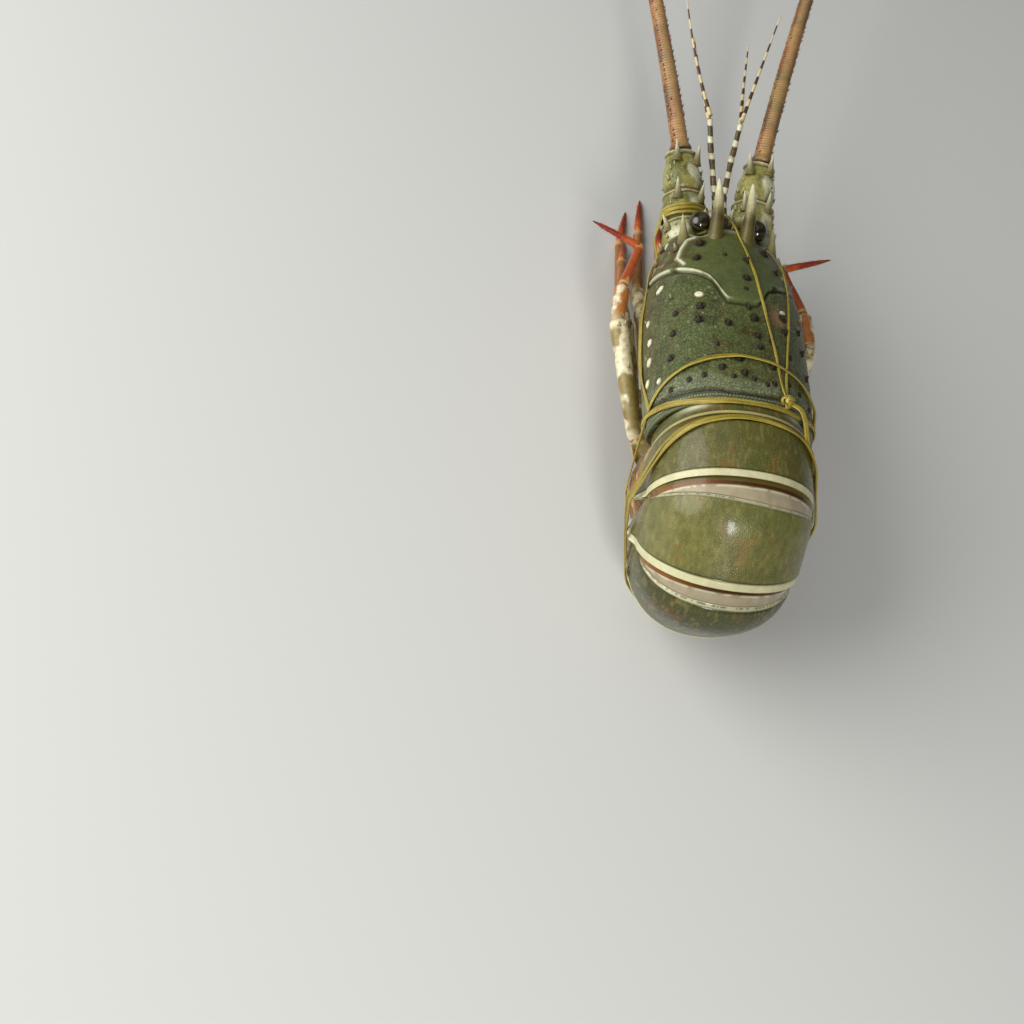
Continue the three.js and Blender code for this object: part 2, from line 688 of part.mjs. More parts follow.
// A taut loop: the outline that a plane cuts from the pieces, pulled tight.
function tautLoop(names, through, normal) {
  const n = unit(normal);
  const u = [1, 0, 0];
  const v = unit(cross(n, u));
  const cuts = [];
  for (const name of names) {
    const points = pieces[name].getAttribute("position");
    const index = pieces[name].index.array;
    const corner = (i) => [points.getX(index[i]), points.getY(index[i]), points.getZ(index[i])];
    for (let i = 0; i < index.length; i += 3) {
      const face = [corner(i), corner(i + 1), corner(i + 2)];
      for (const shift of [-TWINE, 0, TWINE]) {
        const high = face.map((p) => dot(minus(p, through), n) - shift);
        for (const [a, b] of [[0, 1], [1, 2], [2, 0]]) {
          if (high[a] * high[b] < 0) {
            const p = mix(face[a], face[b], high[a] / (high[a] - high[b]));
            cuts.push([dot(minus(p, through), u), dot(minus(p, through), v)]);
          }
        }
      }
    }
  }
  return outline(cuts)
    .map(([a, b]) => add(add(through, u, a), v, b));
}

function ringOfTwine(path, normal, sides = 4) {
  const n = path.length;
  const plane = unit(normal);
  const points = path.flatMap((p, i) => {
    const out = unit(cross(minus(path[(i + 1) % n], path[(i + n - 1) % n]), plane));
    return oval(TWINE, TWINE, sides, Math.PI / 4).map(([a, b]) => add(add(p, out, a), plane, b));
  });
  const faces = [];
  for (let i = 0; i < n; i += 1) {
    for (let j = 0; j < sides; j += 1) {
      const a = i * sides + j;
      const b = i * sides + ((j + 1) % sides);
      const c = ((i + 1) % n) * sides + j;
      const d = ((i + 1) % n) * sides + ((j + 1) % sides);
      faces.push([a, b, d], [a, d, c]);
    }
  }
  return skin(points, faces);
}

const onBack = ([t, angle], lift = TWINE + 2 * GAP) => carapacePoint(t, angle, lift);
const strand = (path) => limb(path.map((p) => [...p, TWINE]), 4);
const farthest = (path, way) => path.reduce((a, b) => (dot(b, way) > dot(a, way) ? b : a));
const nearest = (path, p) => path.reduce((a, b) => (size(minus(b, p)) < size(minus(a, p)) ? b : a));

// Three loops round body and tail, a wrap on one antenna, strands along the back and their knot.
function twine() {
  const bound = Object.keys(pieces).filter((name) => !/antenn|eye|horn/.test(name));
  const normals = BODY_LOOPS.map(([top, bottom]) => [0, top[2] - bottom[2], bottom[1] - top[1]]);
  const loops = BODY_LOOPS.map(([top], i) => tautLoop(bound, top, normals[i]));
  const axis = unit(minus(STEM_AXIS[2], STEM_AXIS[1]));
  const wraps = WRAP_PLACES.map((f) => (
    tautLoop(["antenna_stem_2_l", "antenna_stem_1_l"], add(STEM_AXIS[1], axis, f), axis)));
  const knot = [-0.33, -0.43, -0.53].map((angle, i) => {
    const radius = KNOT_RADIUS * [0.55, 1, 0.55][i];
    return [...onBack([0.972, angle], radius + GAP), radius];
  });
  const tie = onBack([0.972, -0.43], KNOT_RADIUS);
  const strands = [
    [farthest(wraps[0], [-0.6, 0, 0.8]), [4.2, -111, 14.8], [2.2, -104, 18],
      ...[[0, 0.05], [0.13, 0.03], [0.2, 0], [0.27, -0.1], [0.34, -0.2], [0.45, -0.24], [0.6, -0.27],
        [0.8, -0.33]].map((p) => onBack(p)), tie],
    [...[[0.1, -1.02], [0.3, -0.84], [0.5, -0.76], [0.68, -0.67], [0.8, -0.58]].map((p) => onBack(p)), tie],
    [farthest(wraps[0], [0.9, 0, -0.4]), [27.6, -107, -5],
      ...[[0.05, 1.6], [0.3, 1.56], [0.5, 1.57], [0.64, 1.59], [0.76, 1.61]].map((p) => onBack(p)),
      nearest(loops[0], onBack([0.86, 1.64]))],
    [tie, nearest(loops[1], tie)],
    [tie, [-20, 1, 25.6], nearest(loops[2], [-27, 10.5, 18.5])],
  ];
  return joined(
    ...loops.map((path, i) => ringOfTwine(path, normals[i])),
    ...wraps.map((path) => ringOfTwine(path, axis)),
    limb(knot, 6),
    ...strands.map(strand),
  );
}

// Assembly
const COLOURS = {
  shell: 0x4d5a3c,
  leg: 0x6b6236,
  horn: 0x8a8660,
  eye: 0x17120c,
  whip: 0x7a4a22,
  belly: 0xb9a884,
  fan: 0x57492a,
  twine: 0xa89a3a,
};

const materials = {};
for (const [name, colour] of Object.entries(COLOURS)) {
  materials[name] = new THREE.MeshStandardMaterial({ color: colour, roughness: 0.5, metalness: 0 });
  materials[name].name = name;
}

const pieces = {};
const slots = {};

// Adds a piece, cut back from the named pieces that it touches.
function put(name, slot, geometry, ...near) {
  pieces[name] = near.length ? clearOf(geometry, near.map((other) => pieces[other])) : geometry;
  slots[name] = slot;
}

// Adds a left piece and its mirror image; a * in a neighbour's name stands for the side.
function putPair(name, slot, geometry, ...near) {
  for (const [side, shape] of [["l", geometry], ["r", mirrored(geometry)]]) {
    put(`${name}_${side}`, slot, shape, ...near.map((other) => other.replace("*", side)));
  }
}

put("carapace", "shell", carapace());
put("sternum", "belly", sternum(), "carapace");
put("mouthparts", "belly", mouthparts(), "carapace", "sternum");
put("antennular_plate", "shell", antennularPlate(), "carapace");
putPair("frontal_horn", "horn", horn(), "carapace");
putPair("antenna_stem_1", "leg", antennaStem(0), "carapace", "antennular_plate", "mouthparts");
putPair("antenna_stem_2", "leg", antennaStem(1));
putPair("antenna_stem_3", "leg", antennaStem(2));
putPair("eye", "eye", eye(), "carapace", "antennular_plate", "antenna_stem_1_*");
putPair("antenna_flagellum", "whip", antennaWhip());
const feeler = antennule();
putPair(
  "antennule",
  "leg",
  feeler.stem,
  "antennular_plate",
  "antenna_stem_1_*",
  "antenna_stem_2_*",
  "antenna_stem_3_*",
);
putPair("antennule_flagellum_outer", "whip", feeler.outer, "antennule_*");
putPair("antennule_flagellum_inner", "whip", feeler.inner, "antennule_*", "antennule_flagellum_outer_*");

LEGS.forEach((leg, k) => {
  const { upper, lower } = legParts(leg);
  const before = k > 0 ? [`leg_${k}_upper_*`, `leg_${k}_lower_*`] : [];
  putPair(`leg_${k + 1}_upper`, "leg", upper, "carapace", "sternum", ...before);
  putPair(`leg_${k + 1}_lower`, "leg", lower, `leg_${k + 1}_upper_*`);
});
putPair("maxilliped", "leg", maxilliped(), "carapace", "sternum", "mouthparts", "leg_1_upper_*");

for (let k = 0; k < 6; k += 1) put(`abdomen_${k + 1}`, "shell", somite(k));
pieces.abdomen_1 = clearOf(pieces.abdomen_1, [pieces.carapace]);
const { telson, endopod, exopod } = fan();
put("telson", "fan", telson, "abdomen_6");
putPair("uropod_endopod", "fan", endopod, "abdomen_6");
putPair("uropod_exopod", "fan", exopod, "abdomen_6");
put("twine", "twine", twine());

// The lean, the lift and the flats it stands on.
const group = new THREE.Group();
group.name = "spiny_lobster";
const floor = new THREE.BoxGeometry(900, 1200, 200);
floor.translate(0, 0, -100);
for (const [name, geometry] of Object.entries(pieces)) {
  geometry.rotateX(lean);
  geometry.translate(0, -STAND_POINT, STAND_HEIGHT);
  const low = new THREE.Box3().setFromBufferAttribute(geometry.getAttribute("position")).min.z;
  const placed = low < 0 ? geometryOf(solid(geometry).subtract(solid(floor))) : geometry;
  const mesh = new THREE.Mesh(placed, materials[slots[name]].clone());
  mesh.material.name = slots[name];
  mesh.name = name;
  group.add(mesh);
}

export default group;
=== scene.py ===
# A life-size still model of a spiny lobster, tied with twine, its tail curled under.
# Shapes are worked out in millimetres in the animal's own frame: +X is its left, +Y runs towards
# the tail, +Z is up, and the origin is the hinge between carapace and tail.
import math

import bpy
import numpy as np
from mathutils import Matrix


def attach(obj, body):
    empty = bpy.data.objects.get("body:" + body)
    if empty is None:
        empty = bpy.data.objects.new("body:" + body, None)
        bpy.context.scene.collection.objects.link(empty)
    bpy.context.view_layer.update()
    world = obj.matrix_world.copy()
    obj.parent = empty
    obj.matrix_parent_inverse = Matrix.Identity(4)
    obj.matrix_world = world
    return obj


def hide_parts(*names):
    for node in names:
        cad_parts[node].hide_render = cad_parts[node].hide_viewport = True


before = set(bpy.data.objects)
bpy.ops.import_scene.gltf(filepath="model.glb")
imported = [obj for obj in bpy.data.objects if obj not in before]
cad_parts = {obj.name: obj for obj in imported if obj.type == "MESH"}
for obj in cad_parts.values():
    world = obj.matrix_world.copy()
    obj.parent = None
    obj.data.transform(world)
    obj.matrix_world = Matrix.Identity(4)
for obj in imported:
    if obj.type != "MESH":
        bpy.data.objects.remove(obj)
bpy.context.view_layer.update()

# Stance and camera
LEAN = math.radians(9)
STAND_HEIGHT = 73.2
STAND_POINT = 19.6
MM = 0.001
CAMERA_POINT = (181.9, 390.4, 492.4)
CAMERA_FORWARD = (-0.1536, -0.5622, -0.8126)
CAMERA_UP = (0.1329, -0.8267, 0.5467)
SENSOR = 36
LENS = 56.6

# Carapace: tables run from the face, 0, to the hind edge, 1
CARAPACE_LENGTH = 100
HALF_WIDTH = [(0, 25.5), (0.08, 28.6), (0.25, 32.2), (0.45, 34.4), (0.8, 34.9), (1, 33.8)]
BACK_HEIGHT = [(0, 16.5), (0.1, 18.8), (0.25, 21.8), (0.42, 24.6), (0.55, 25), (0.8, 25.2), (1, 24)]
BELLY_LEVEL = [(0, -21), (0.1, -26), (0.3, -28), (0.9, -27.5), (1, -26)]
GROOVE_LINE = [(0, 0.485), (0.14, 0.485), (0.38, 0.345), (0.7, 0.28), (1.6, 0.215), (3.2, 0.12)]
RIGHT_SETBACK = 0.035
WIDEST = -4
GROOVE = 0.485
RIM = 0.955
SQUARE = 0.93

# Tail segments: length, bend, height, width, depth of the side flap, how far its point stands out,
# swell of the ring, length of the facet that a bend bares, margin and colour
# The colours are partly painted light and shade: the third segment, facing the light, is painted
# lightest, and the fourth to sixth, curling away from it, darker.
SEGMENTS = [
    (7.5, 2, 29.6, 62.8, 6, -1, 0.3, 1.5, 1.3, (86, 82, 38)),
    (20, -12, 31, 65.7, 14.5, 6, 0.9, 2.4, 2.9, (92, 87, 38)),
    (21.5, -56, 31.6, 67.2, 15, 3.2, 0.9, 9.5, 3.0, (113, 110, 60)),
    (20, -112.4, 30, 64.7, 14.5, 2.6, 2.3, 9, 2.6, (60, 58, 22)),
    (18, -154, 27, 59.5, 13.5, 0.8, 1.2, 8, 2.4, (68, 63, 26)),
    (24, -188, 24, 51.5, 10, -2, 0.9, 7, 2, (68, 61, 25)),
]
LENGTH, BEND, HEIGHT, WIDTH, FLAP, FLARE, BULGE, FACET, MARGIN, OLIVES = zip(*SEGMENTS)
LAST = len(SEGMENTS) - 1
HINGE_LEVEL = -5.5
HINGE_ALLOWANCE = 3
HIND_SHARE = 0.02
BELLY_WALL = -2.5
# Shares of a segment's rows where its facet ends and its margin starts
FACET_END, MARGIN_START = 0.3, 0.85

SIDES = ((1, "l"), (-1, "r"))
UP = np.array([0, 0, 1.0])
BAKE_PATCH = 0.0015

# Palette, 0 to 255
OLIVE = (85, 91, 47)
OLIVE_GREEN = (76, 88, 46)
OLIVE_WARM = (100, 91, 42)
OLIVE_DEEP = (44, 44, 18)
BROWN = (74, 54, 20)
DARK = (34, 30, 14)
CREAM = (222, 220, 186)
BONE = (198, 188, 146)
SAND = (176, 156, 108)
PINK_GREY = (170, 156, 130)
BLUE_GREY = (92, 99, 70)
PALE_GRAIN = (146, 151, 104)
RUST = (168, 96, 46)
RAFFIA = (158, 138, 34)
RAFFIA_PALE = (190, 174, 76)
RAFFIA_DEEP = (104, 86, 20)


# Numbers
def smooth(table, x):
    """A monotone smooth curve through the (x, y) pairs of a table."""
    xs, ys = np.array(table, float).T
    step = np.diff(xs)
    rise = np.diff(ys) / step
    slope = np.zeros(len(xs))
    slope[0], slope[-1] = rise[0], rise[-1]
    for i in range(1, len(xs) - 1):
        if rise[i - 1] * rise[i] > 0:
            a, b = 2 * step[i] + step[i - 1], step[i] + 2 * step[i - 1]
            slope[i] = (a + b) / (a / rise[i - 1] + b / rise[i])
    x = np.clip(x, xs[0], xs[-1])
    k = np.clip(np.searchsorted(xs, x, side="right") - 1, 0, len(xs) - 2)
    t = (x - xs[k]) / step[k]
    return (ys[k] * (1 + 2 * t) * (1 - t) ** 2 + ys[k + 1] * t * t * (3 - 2 * t)
            + step[k] * (slope[k] * t * (1 - t) ** 2 - slope[k + 1] * t * t * (1 - t)))


def step_up(x, a, b):
    u = np.clip((x - a) / (b - a), 0, 1)
    return u * u * (3 - 2 * u)


def ridge(x, centre, width):
    return np.exp(-((x - centre) / width) ** 2)


def wave(x):
    return 0.5 + 0.5 * np.sin(x)


def power(v, e):
    return np.sign(v) * np.abs(v) ** e


def vec(*parts):
    return np.stack(np.broadcast_arrays(*parts), -1)


def unit(v):
    v = np.asarray(v, float)
    return v / np.maximum(np.linalg.norm(v, axis=-1, keepdims=True), 1e-9)


def hashed(i, j, k, seed):
    n = (i * 73856093) ^ (j * 19349663) ^ (k * 83492791) ^ (seed * 2654435761)
    n = (n ^ (n >> 13)) * 1274126177
    n = n ^ (n >> 16)
    return (n & 0xFFFFFF) / 0xFFFFFF


def noise(p, size, seed):
    """Soft blobs of the given size, 0 to 1."""
    q = np.asarray(p, float) / size
    base = np.floor(q).astype(np.int64)
    f = q - base
    f = f * f * (3 - 2 * f)
    total = 0
    for d in np.ndindex(2, 2, 2):
        weight = np.prod([f[..., axis] if d[axis] else 1 - f[..., axis] for axis in range(3)], 0)
        total = total + weight * hashed(*(base[..., axis] + d[axis] for axis in range(3)), seed)
    return total


def fractal(p, size, seed, octaves=3):
    parts = [noise(p, size / 2 ** n, seed + n) / 2 ** n for n in range(octaves)]
    return sum(parts) / sum(1 / 2 ** n for n in range(octaves))


def blots(p, size, seed, low, high):
    return step_up(fractal(p, size, seed), low, high)


def cells(p, size, seed):
    """Distance to the nearest of scattered centres, in sizes, and a number for that centre."""
    q = np.asarray(p, float) / size
    base = np.floor(q).astype(np.int64)
    best = np.full(q.shape[:-1], 9.0)
    tag = np.zeros(q.shape[:-1])
    for step in np.ndindex(3, 3, 3):
        cell = [base[..., axis] + step[axis] - 1 for axis in range(3)]
        spot = np.stack([cell[axis] + 0.15 + 0.7 * hashed(*cell, seed + axis)
                         for axis in range(3)], -1)
        d = np.linalg.norm(q - spot, axis=-1)
        tag = np.where(d < best, hashed(*cell, seed + 7), tag)
        best = np.minimum(best, d)
    return best, tag


def domes(p, size, seed, reach, dropped=0):
    """Granules over scattered centres, 0 to 1; a share of the centres is dropped."""
    distance, tag = cells(p, size, seed)
    return np.clip(1 - distance / reach, 0, 1) * (tag >= dropped)


# Colours
def tone(colour):
    """The linear form of a tuple of 0 to 255; an array is linear already."""
    if isinstance(colour, np.ndarray):
        return colour
    c = np.array(colour) / 255
    return np.where(c <= 0.04045, c / 12.92, ((c + 0.055) / 1.055) ** 2.4)


def layered(paint, *layers):
    """Paint with layers laid over it in turn, each a colour and its weight."""
    for colour, weight in layers:
        paint = paint + (tone(colour) - paint) * np.clip(weight, 0, 1)[..., None]
    return paint


def painted(like, base, *layers):
    """Paint for a grid of points: a base colour under layers."""
    return layered(np.broadcast_to(tone(base), like.shape[:2] + (3,)), *layers)


# Places and directions
def place(p):
    """From the animal's own frame in millimetres to the model's frame in metres."""
    x, y, z = np.moveaxis(np.asarray(p, float), -1, 0)
    c, s = math.cos(LEAN), math.sin(LEAN)
    return vec(x, y * c - z * s - STAND_POINT, y * s + z * c + STAND_HEIGHT) * MM


def outward(p, centre):
    """Unit normals of a closed grid of points, turned away from its centre."""
    around = (np.roll(p, -1, axis=1) - np.roll(p, 1, axis=1)) / 2
    n = unit(np.cross(np.gradient(p, axis=0), around))
    return n * np.sign((n * (p - centre)).sum(-1))[..., None]


def raised(p, n, relief):
    return p + n * relief[..., None]


def mirrored(points, side):
    return np.array(points, float) * (side, 1, 1)


def in_scene(name, data):
    made = bpy.data.objects.new(name, data)
    bpy.context.scene.collection.objects.link(made)
    return made


class Piece:
    """Collects closed grids and spikes with their colours, then makes one mesh object of them."""

    def __init__(self):
        self.points, self.quads, self.tris, self.paint, self.finish = ([] for _ in range(5))
        self.spots = []
        self.count = 0

    def add(self, points, quads, tris, paint, finish):
        faces = np.concatenate([quads[:, [0, 1, 2]], quads[:, [0, 2, 3]], tris])
        a, b, c = ((points - points.mean(0))[faces[:, i]] for i in range(3))
        if (a * np.cross(b, c)).sum() < 0:
            quads, tris = quads[:, ::-1], tris[:, ::-1]
        self.points.append(points)
        self.quads.append(quads + self.count)
        self.tris.append(tris + self.count)
        self.paint.append(np.broadcast_to(paint, points.shape))
        self.finish.append(np.broadcast_to(finish, points.shape))
        self.count += len(points)

    def grid(self, p, paint, finish, loop=False):
        """A tube of rings with lids, or a ring of rings when loop is set."""
        n, m = p.shape[:2]
        here = np.arange(n if loop else n - 1)[:, None] * m
        ahead = (here + m) % (n * m)
        j = np.arange(m)
        beside = np.roll(j, -1)
        quads = np.stack([here + j, here + beside, ahead + beside, ahead + j], -1).reshape(-1, 4)
        tris = np.zeros((0, 3), int)
        parts = [np.broadcast_to(v, p.shape).reshape(-1, 3) for v in (p, paint, finish)]
        for row, turn in () if loop else ((0, 1), (n - 1, -1)):
            ring = row * m + j
            fan = np.stack([np.full(m, len(parts[0])), row * m + beside, ring], 1)
            tris = np.concatenate([tris, fan[:, ::turn]])
            parts = [np.concatenate([v, v[ring].mean(0)[None]]) for v in parts]
        self.add(parts[0], quads, tris, *parts[1:])

    def make(self, name, slot, material, nodes=(), coat=False):
        points = place(np.concatenate(self.points))
        points[:, 2] = np.maximum(points[:, 2], 0)
        quads, tris = (np.concatenate(faces).astype(np.int32) for faces in (self.quads, self.tris))
        corners = np.concatenate([quads.ravel(), tris.ravel()])
        starts = np.concatenate([np.arange(len(quads)) * 4, quads.size + np.arange(len(tris)) * 3])
        mesh = bpy.data.meshes.new(name)
        mesh.vertices.add(len(points))
        mesh.vertices.foreach_set("co", points.astype(np.float32).ravel())
        mesh.loops.add(len(corners))
        mesh.loops.foreach_set("vertex_index", corners)
        mesh.polygons.add(len(starts))
        mesh.polygons.foreach_set("loop_start", starts.astype(np.int32))
        mesh.update(calc_edges=True)
        mesh.polygons.foreach_set("use_smooth", np.ones(len(mesh.polygons), bool))
        for key, values in (("paint", self.paint), ("finish", self.finish)):
            rgba = np.ones((len(points), 4), np.float32)
            rgba[:, :3] = np.concatenate(values)
            layer = mesh.attributes.new(key, "FLOAT_COLOR", "POINT")
            layer.data.foreach_set("color", rgba.ravel())
        if coat:
            spots = np.concatenate(self.spots)[corners].astype(np.float32)
            mesh.uv_layers.new(name="OFBake").data.foreach_set("uv", spots.ravel())
        mesh.validate()
        piece = in_scene(name, mesh)
        mesh.materials.append(material)
        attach(piece, "root")
        if nodes:
            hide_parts(*nodes)


# Sweeps
def through(stations, n):
    """Smooth rows through stations, evenly spaced along them; every column is carried along."""
    stations = np.asarray(stations, float)
    gap = np.linalg.norm(np.diff(stations[:, :3], axis=0), axis=1)
    u = np.concatenate([[0], np.cumsum(gap)])
    f = np.linspace(0, 1, n)
    return np.stack([smooth(list(zip(u / u[-1], column)), f) for column in stations.T], -1)


def frames_along(path, hint=(0, 0, 1), loop=False):
    """Unit vectors at each point of a path: ahead, up and sideways."""
    if loop:
        way = unit(np.roll(path, -1, axis=0) - np.roll(path, 1, axis=0))
    else:
        way = unit(np.gradient(path, axis=0))
    hint = np.asarray(hint, float)
    if hint.ndim == 2:
        ups = unit(hint - way * (hint * way).sum(-1, keepdims=True))
    else:
        ups = np.zeros_like(path)
        up = hint
        for i, w in enumerate(way):
            up = unit(up - w * np.dot(up, w))
            ups[i] = up
    return way, ups, np.cross(way, ups)


def swept(path, across, up, sides, hint=(0, 0, 1), loop=False, exponent=1.0):
    """Rings of ovals along a path, given their half sizes, with the angle and the way out."""
    _, ups, side = frames_along(path, hint, loop)
    angle = np.linspace(0, 2 * math.pi, sides, endpoint=False)[None]
    a = power(np.cos(angle), exponent) * np.reshape(across, (-1, 1))
    b = power(np.sin(angle), exponent) * np.reshape(up, (-1, 1))
    p = path[:, None] + side[:, None] * a[..., None] + ups[:, None] * b[..., None]
    return p, np.broadcast_to(angle, p.shape[:2]), unit(p - path[:, None])


def tube(stations, n, sides, side=1, hint=(0, 0, 1), exponent=1.0):
    """A sweep through stations of place and half sizes, mirrored for side -1, and its rows."""
    rows = through(stations, n)
    rows[:, 0] *= side
    return *swept(rows[:, :3], rows[:, 3], rows[:, -1], sides, hint, exponent=exponent), rows


def cone(piece, foot, tip, radius, paint, tip_paint, finish, sides=10, rows=9, sink=0.5, bow=0.0):
    """A spine: broad at its foot, round at its point, a little bowed."""
    foot, tip = np.asarray(foot, float), np.asarray(tip, float)
    way = unit(tip - foot)
    root = foot - way * sink
    f = np.linspace(0, 1, rows)[:, None]
    path = root + (tip - root) * f + UP * bow * f * (1 - f) * 4
    size = radius * (1.02 - f) ** 0.85 + radius * 0.35 * (1 - f) ** 6
    p = swept(path, size, size, sides, (0, 1, 0) if abs(way[2]) > 0.8 else (0, 0, 1))[0]
    piece.grid(p, painted(p, paint, (tip_paint, f ** 1.5)), finish)


def hair(piece, foot, tip, radius, colour, spot):
    """A bristle: a slender three-sided spike; spot is its root's place on an unwrap of the skin."""
    way = unit(tip - foot)
    side = unit(np.cross(way, (0.3, 0.5, 0.8)))
    up = np.cross(way, side)
    ring = np.array([(math.cos(a), math.sin(a)) for a in (0, 2.094, 4.189)])
    points = np.concatenate([foot + radius * (ring[:, :1] * side + ring[:, 1:] * up), [tip]])
    tris = np.array([[0, 1, 3], [1, 2, 3], [2, 0, 3], [0, 2, 1]])
    piece.add(points, np.zeros((0, 4), int), tris, tone(colour), (0.5, 0, 0))
    patch = np.concatenate([BAKE_PATCH * ring, [[0, 0]]])
    piece.spots.append(np.clip(np.array(spot) + patch, 0, 1))


def ball(piece, centre, size, paint_of, finish, rows=40, sides=48, axis=(0, 0, 1)):
    """A rounded body about an axis; paint_of(points, height) colours it."""
    axis = unit(axis)
    side = unit(np.cross(axis, (0.2, 0.9, 0.1)))
    u = np.linspace(0.02, math.pi - 0.02, rows)[:, None]
    a = np.linspace(0, 2 * math.pi, sides, endpoint=False)[None]
    shares = (np.sin(u) * np.cos(a) * size[0], np.sin(u) * np.sin(a) * size[1],
              np.cos(u) * size[2])
    ways = (side, np.cross(axis, side), axis)
    p = np.asarray(centre, float) + sum(share[..., None] * way for way, share in zip(ways, shares))
    piece.grid(p, paint_of(p, np.cos(u) + 0 * a), finish)


# Materials
def surface(name, blotch=0.16, blotch_size=3.0, speck=0.5, speck_size=0.5,
            speck_colour=(0.5, 0.5, 0.34), pit=0.0, pit_size=0.9, grain=0.1, grain_size=0.3,
            coat=0.25, coat_rough=0.18, specular=0.5, scatter=0.0, scatter_radius=(1, 0.5, 0.3)):
    """Painted by its vertices, with node-made blotches, specks, granules and fine grain."""
    material = bpy.data.materials.new(name)
    material.use_nodes = True
    nodes, links = material.node_tree.nodes, material.node_tree.links
    nodes.clear()

    def node(kind, sockets, out=0, **values):
        """Makes a node, links or sets its sockets, and gives one of its outputs."""
        made = nodes.new(kind)
        for key, value in values.items():
            setattr(made, key, value)
        for key, value in sockets.items():
            if isinstance(value, bpy.types.NodeSocket):
                links.new(value, made.inputs[key])
            else:
                made.inputs[key].default_value = value
        return made.outputs[out] if made.outputs else None

    where = node("ShaderNodeMapping", {"Vector": node("ShaderNodeTexCoord", {}, "Object"),
                                       "Scale": [1 / MM] * 3})
    paint = node("ShaderNodeAttribute", {}, "Color", attribute_name="paint")
    finish = node("ShaderNodeAttribute", {}, "Color", attribute_name="finish")
    rough, granules, flecks = node("ShaderNodeSeparateColor", {0: finish}).node.outputs

    def clouds(size, detail):
        return node("ShaderNodeTexNoise", {"Vector": where, "Scale": 1 / size, "Detail": detail,
                                           "Roughness": 0.6})

    def mapped(source, *ends):
        sockets = dict(zip(("From Min", "From Max", "To Min", "To Max"), ends))
        return node("ShaderNodeMapRange", {"Value": source, **sockets})

    def maths(kind, a, b):
        return node("ShaderNodeMath", {0: a, 1: b}, operation=kind)

    shade = mapped(clouds(blotch_size, 5), 0.3, 0.7, 1 - blotch, 1 + blotch)
    scaled = node("ShaderNodeVectorMath", {0: paint, "Scale": shade}, operation="SCALE")
    fleck = maths("MULTIPLY", mapped(clouds(speck_size, 2), 0.56, 0.72, 0, 1),
                  maths("MULTIPLY", flecks, speck))
    colour = node("ShaderNodeMix", {"Factor": fleck, "A": scaled, "B": (*speck_colour, 1)},
                  "Result", data_type="RGBA")
    uneven = mapped(clouds(blotch_size * 0.4, 3), 0.3, 0.7, -0.07, 0.09)
    height = maths("MULTIPLY", clouds(grain_size, 4), grain)
    if pit:
        distance = node("ShaderNodeTexVoronoi", {"Vector": where, "Scale": 1 / pit_size,
                                                 "Smoothness": 0.35}, feature="SMOOTH_F1")
        dome = mapped(distance, 0.0, 0.6, pit, 0)
        height = maths("ADD", height, maths("MULTIPLY", dome, granules))
    bump = node("ShaderNodeBump", {"Strength": 1, "Distance": MM, "Height": height})
    sockets = {"Base Color": colour, "Roughness": maths("ADD", rough, uneven), "Normal": bump,
               "Coat Weight": coat, "Coat Roughness": coat_rough, "Specular IOR Level": specular}
    if scatter:
        sockets.update({"Subsurface Weight": scatter, "Subsurface Radius": scatter_radius,
                        "Subsurface Scale": 1.2 * MM})
    node("ShaderNodeOutputMaterial", {0: node("ShaderNodeBsdfPrincipled", sockets)})
    return material


SHELL = surface("shell_back", pit=0.13, pit_size=0.85, grain=0.05, speck_size=0.42,
                speck_colour=(0.42, 0.44, 0.27), coat=0.08, coat_rough=0.2, specular=0.25)
TAIL = surface("shell_tail", pit=0.07, pit_size=0.7, grain=0.025, speck=0.4, speck_size=0.4,
               speck_colour=(0.42, 0.4, 0.2), blotch=0.1, blotch_size=5, coat=0.32,
               coat_rough=0.14, specular=0.22)
LEG = surface("leg_shell", pit=0.03, grain=0.04, speck=0.6, speck_size=0.6,
              speck_colour=(0.6, 0.52, 0.32), blotch=0.2, blotch_size=2.2, coat=0.2,
              coat_rough=0.2, specular=0.35)
HORN = surface("horn", grain=0.03, speck=0.3, blotch=0.15, blotch_size=2, coat=0.12,
               coat_rough=0.2, specular=0.3)
EYE = surface("eye", pit=0.004, pit_size=0.3, grain=0.004, speck=0.3, blotch=0.15, coat=0.5,
              coat_rough=0.1)
WHIP = surface("feeler", grain=0.04, speck_colour=(0.5, 0.3, 0.12), blotch=0.2, blotch_size=4,
               coat=0.2, coat_rough=0.25)
BELLY = surface("belly", grain=0.05, speck_size=0.8, speck_colour=(0.3, 0.2, 0.1), blotch=0.18,
                blotch_size=4, coat_rough=0.25, scatter=0.15)
FAN = surface("fan", pit=0.02, grain=0.04, speck=0.7, speck_size=0.7,
              speck_colour=(0.5, 0.4, 0.16), blotch=0.2, coat=0.4, coat_rough=0.15)
SETAE = surface("setae", grain=0.02, blotch=0.25, blotch_size=1.5, coat=0, speck=0.2)
TWINE = surface("twine", grain_size=0.18, speck_size=0.3, speck_colour=(0.62, 0.55, 0.24),
                blotch=0.2, blotch_size=1.4, coat=0.1, coat_rough=0.3, scatter=0.2,
                scatter_radius=(1, 0.8, 0.3))


# Carapace
def groove_station(angle):
    return smooth(GROOVE_LINE, np.abs(angle)) + RIGHT_SETBACK * step_up(-angle, 0.14, 0.5)


def carapace_station(t, angle):
    """The share of the length at row share t, whose rows crowd evenly round the groove."""
    g = groove_station(angle)
    return np.where(t < GROOVE, t / GROOVE * g, g + (t - GROOVE) / (1 - GROOVE) * (1 - g))


def row_share(s, angle):
    """The inverse of carapace_station."""
    g = float(groove_station(np.array(angle)))
    return s / g * GROOVE if s < g else GROOVE + (s - g) / (1 - g) * (1 - GROOVE)


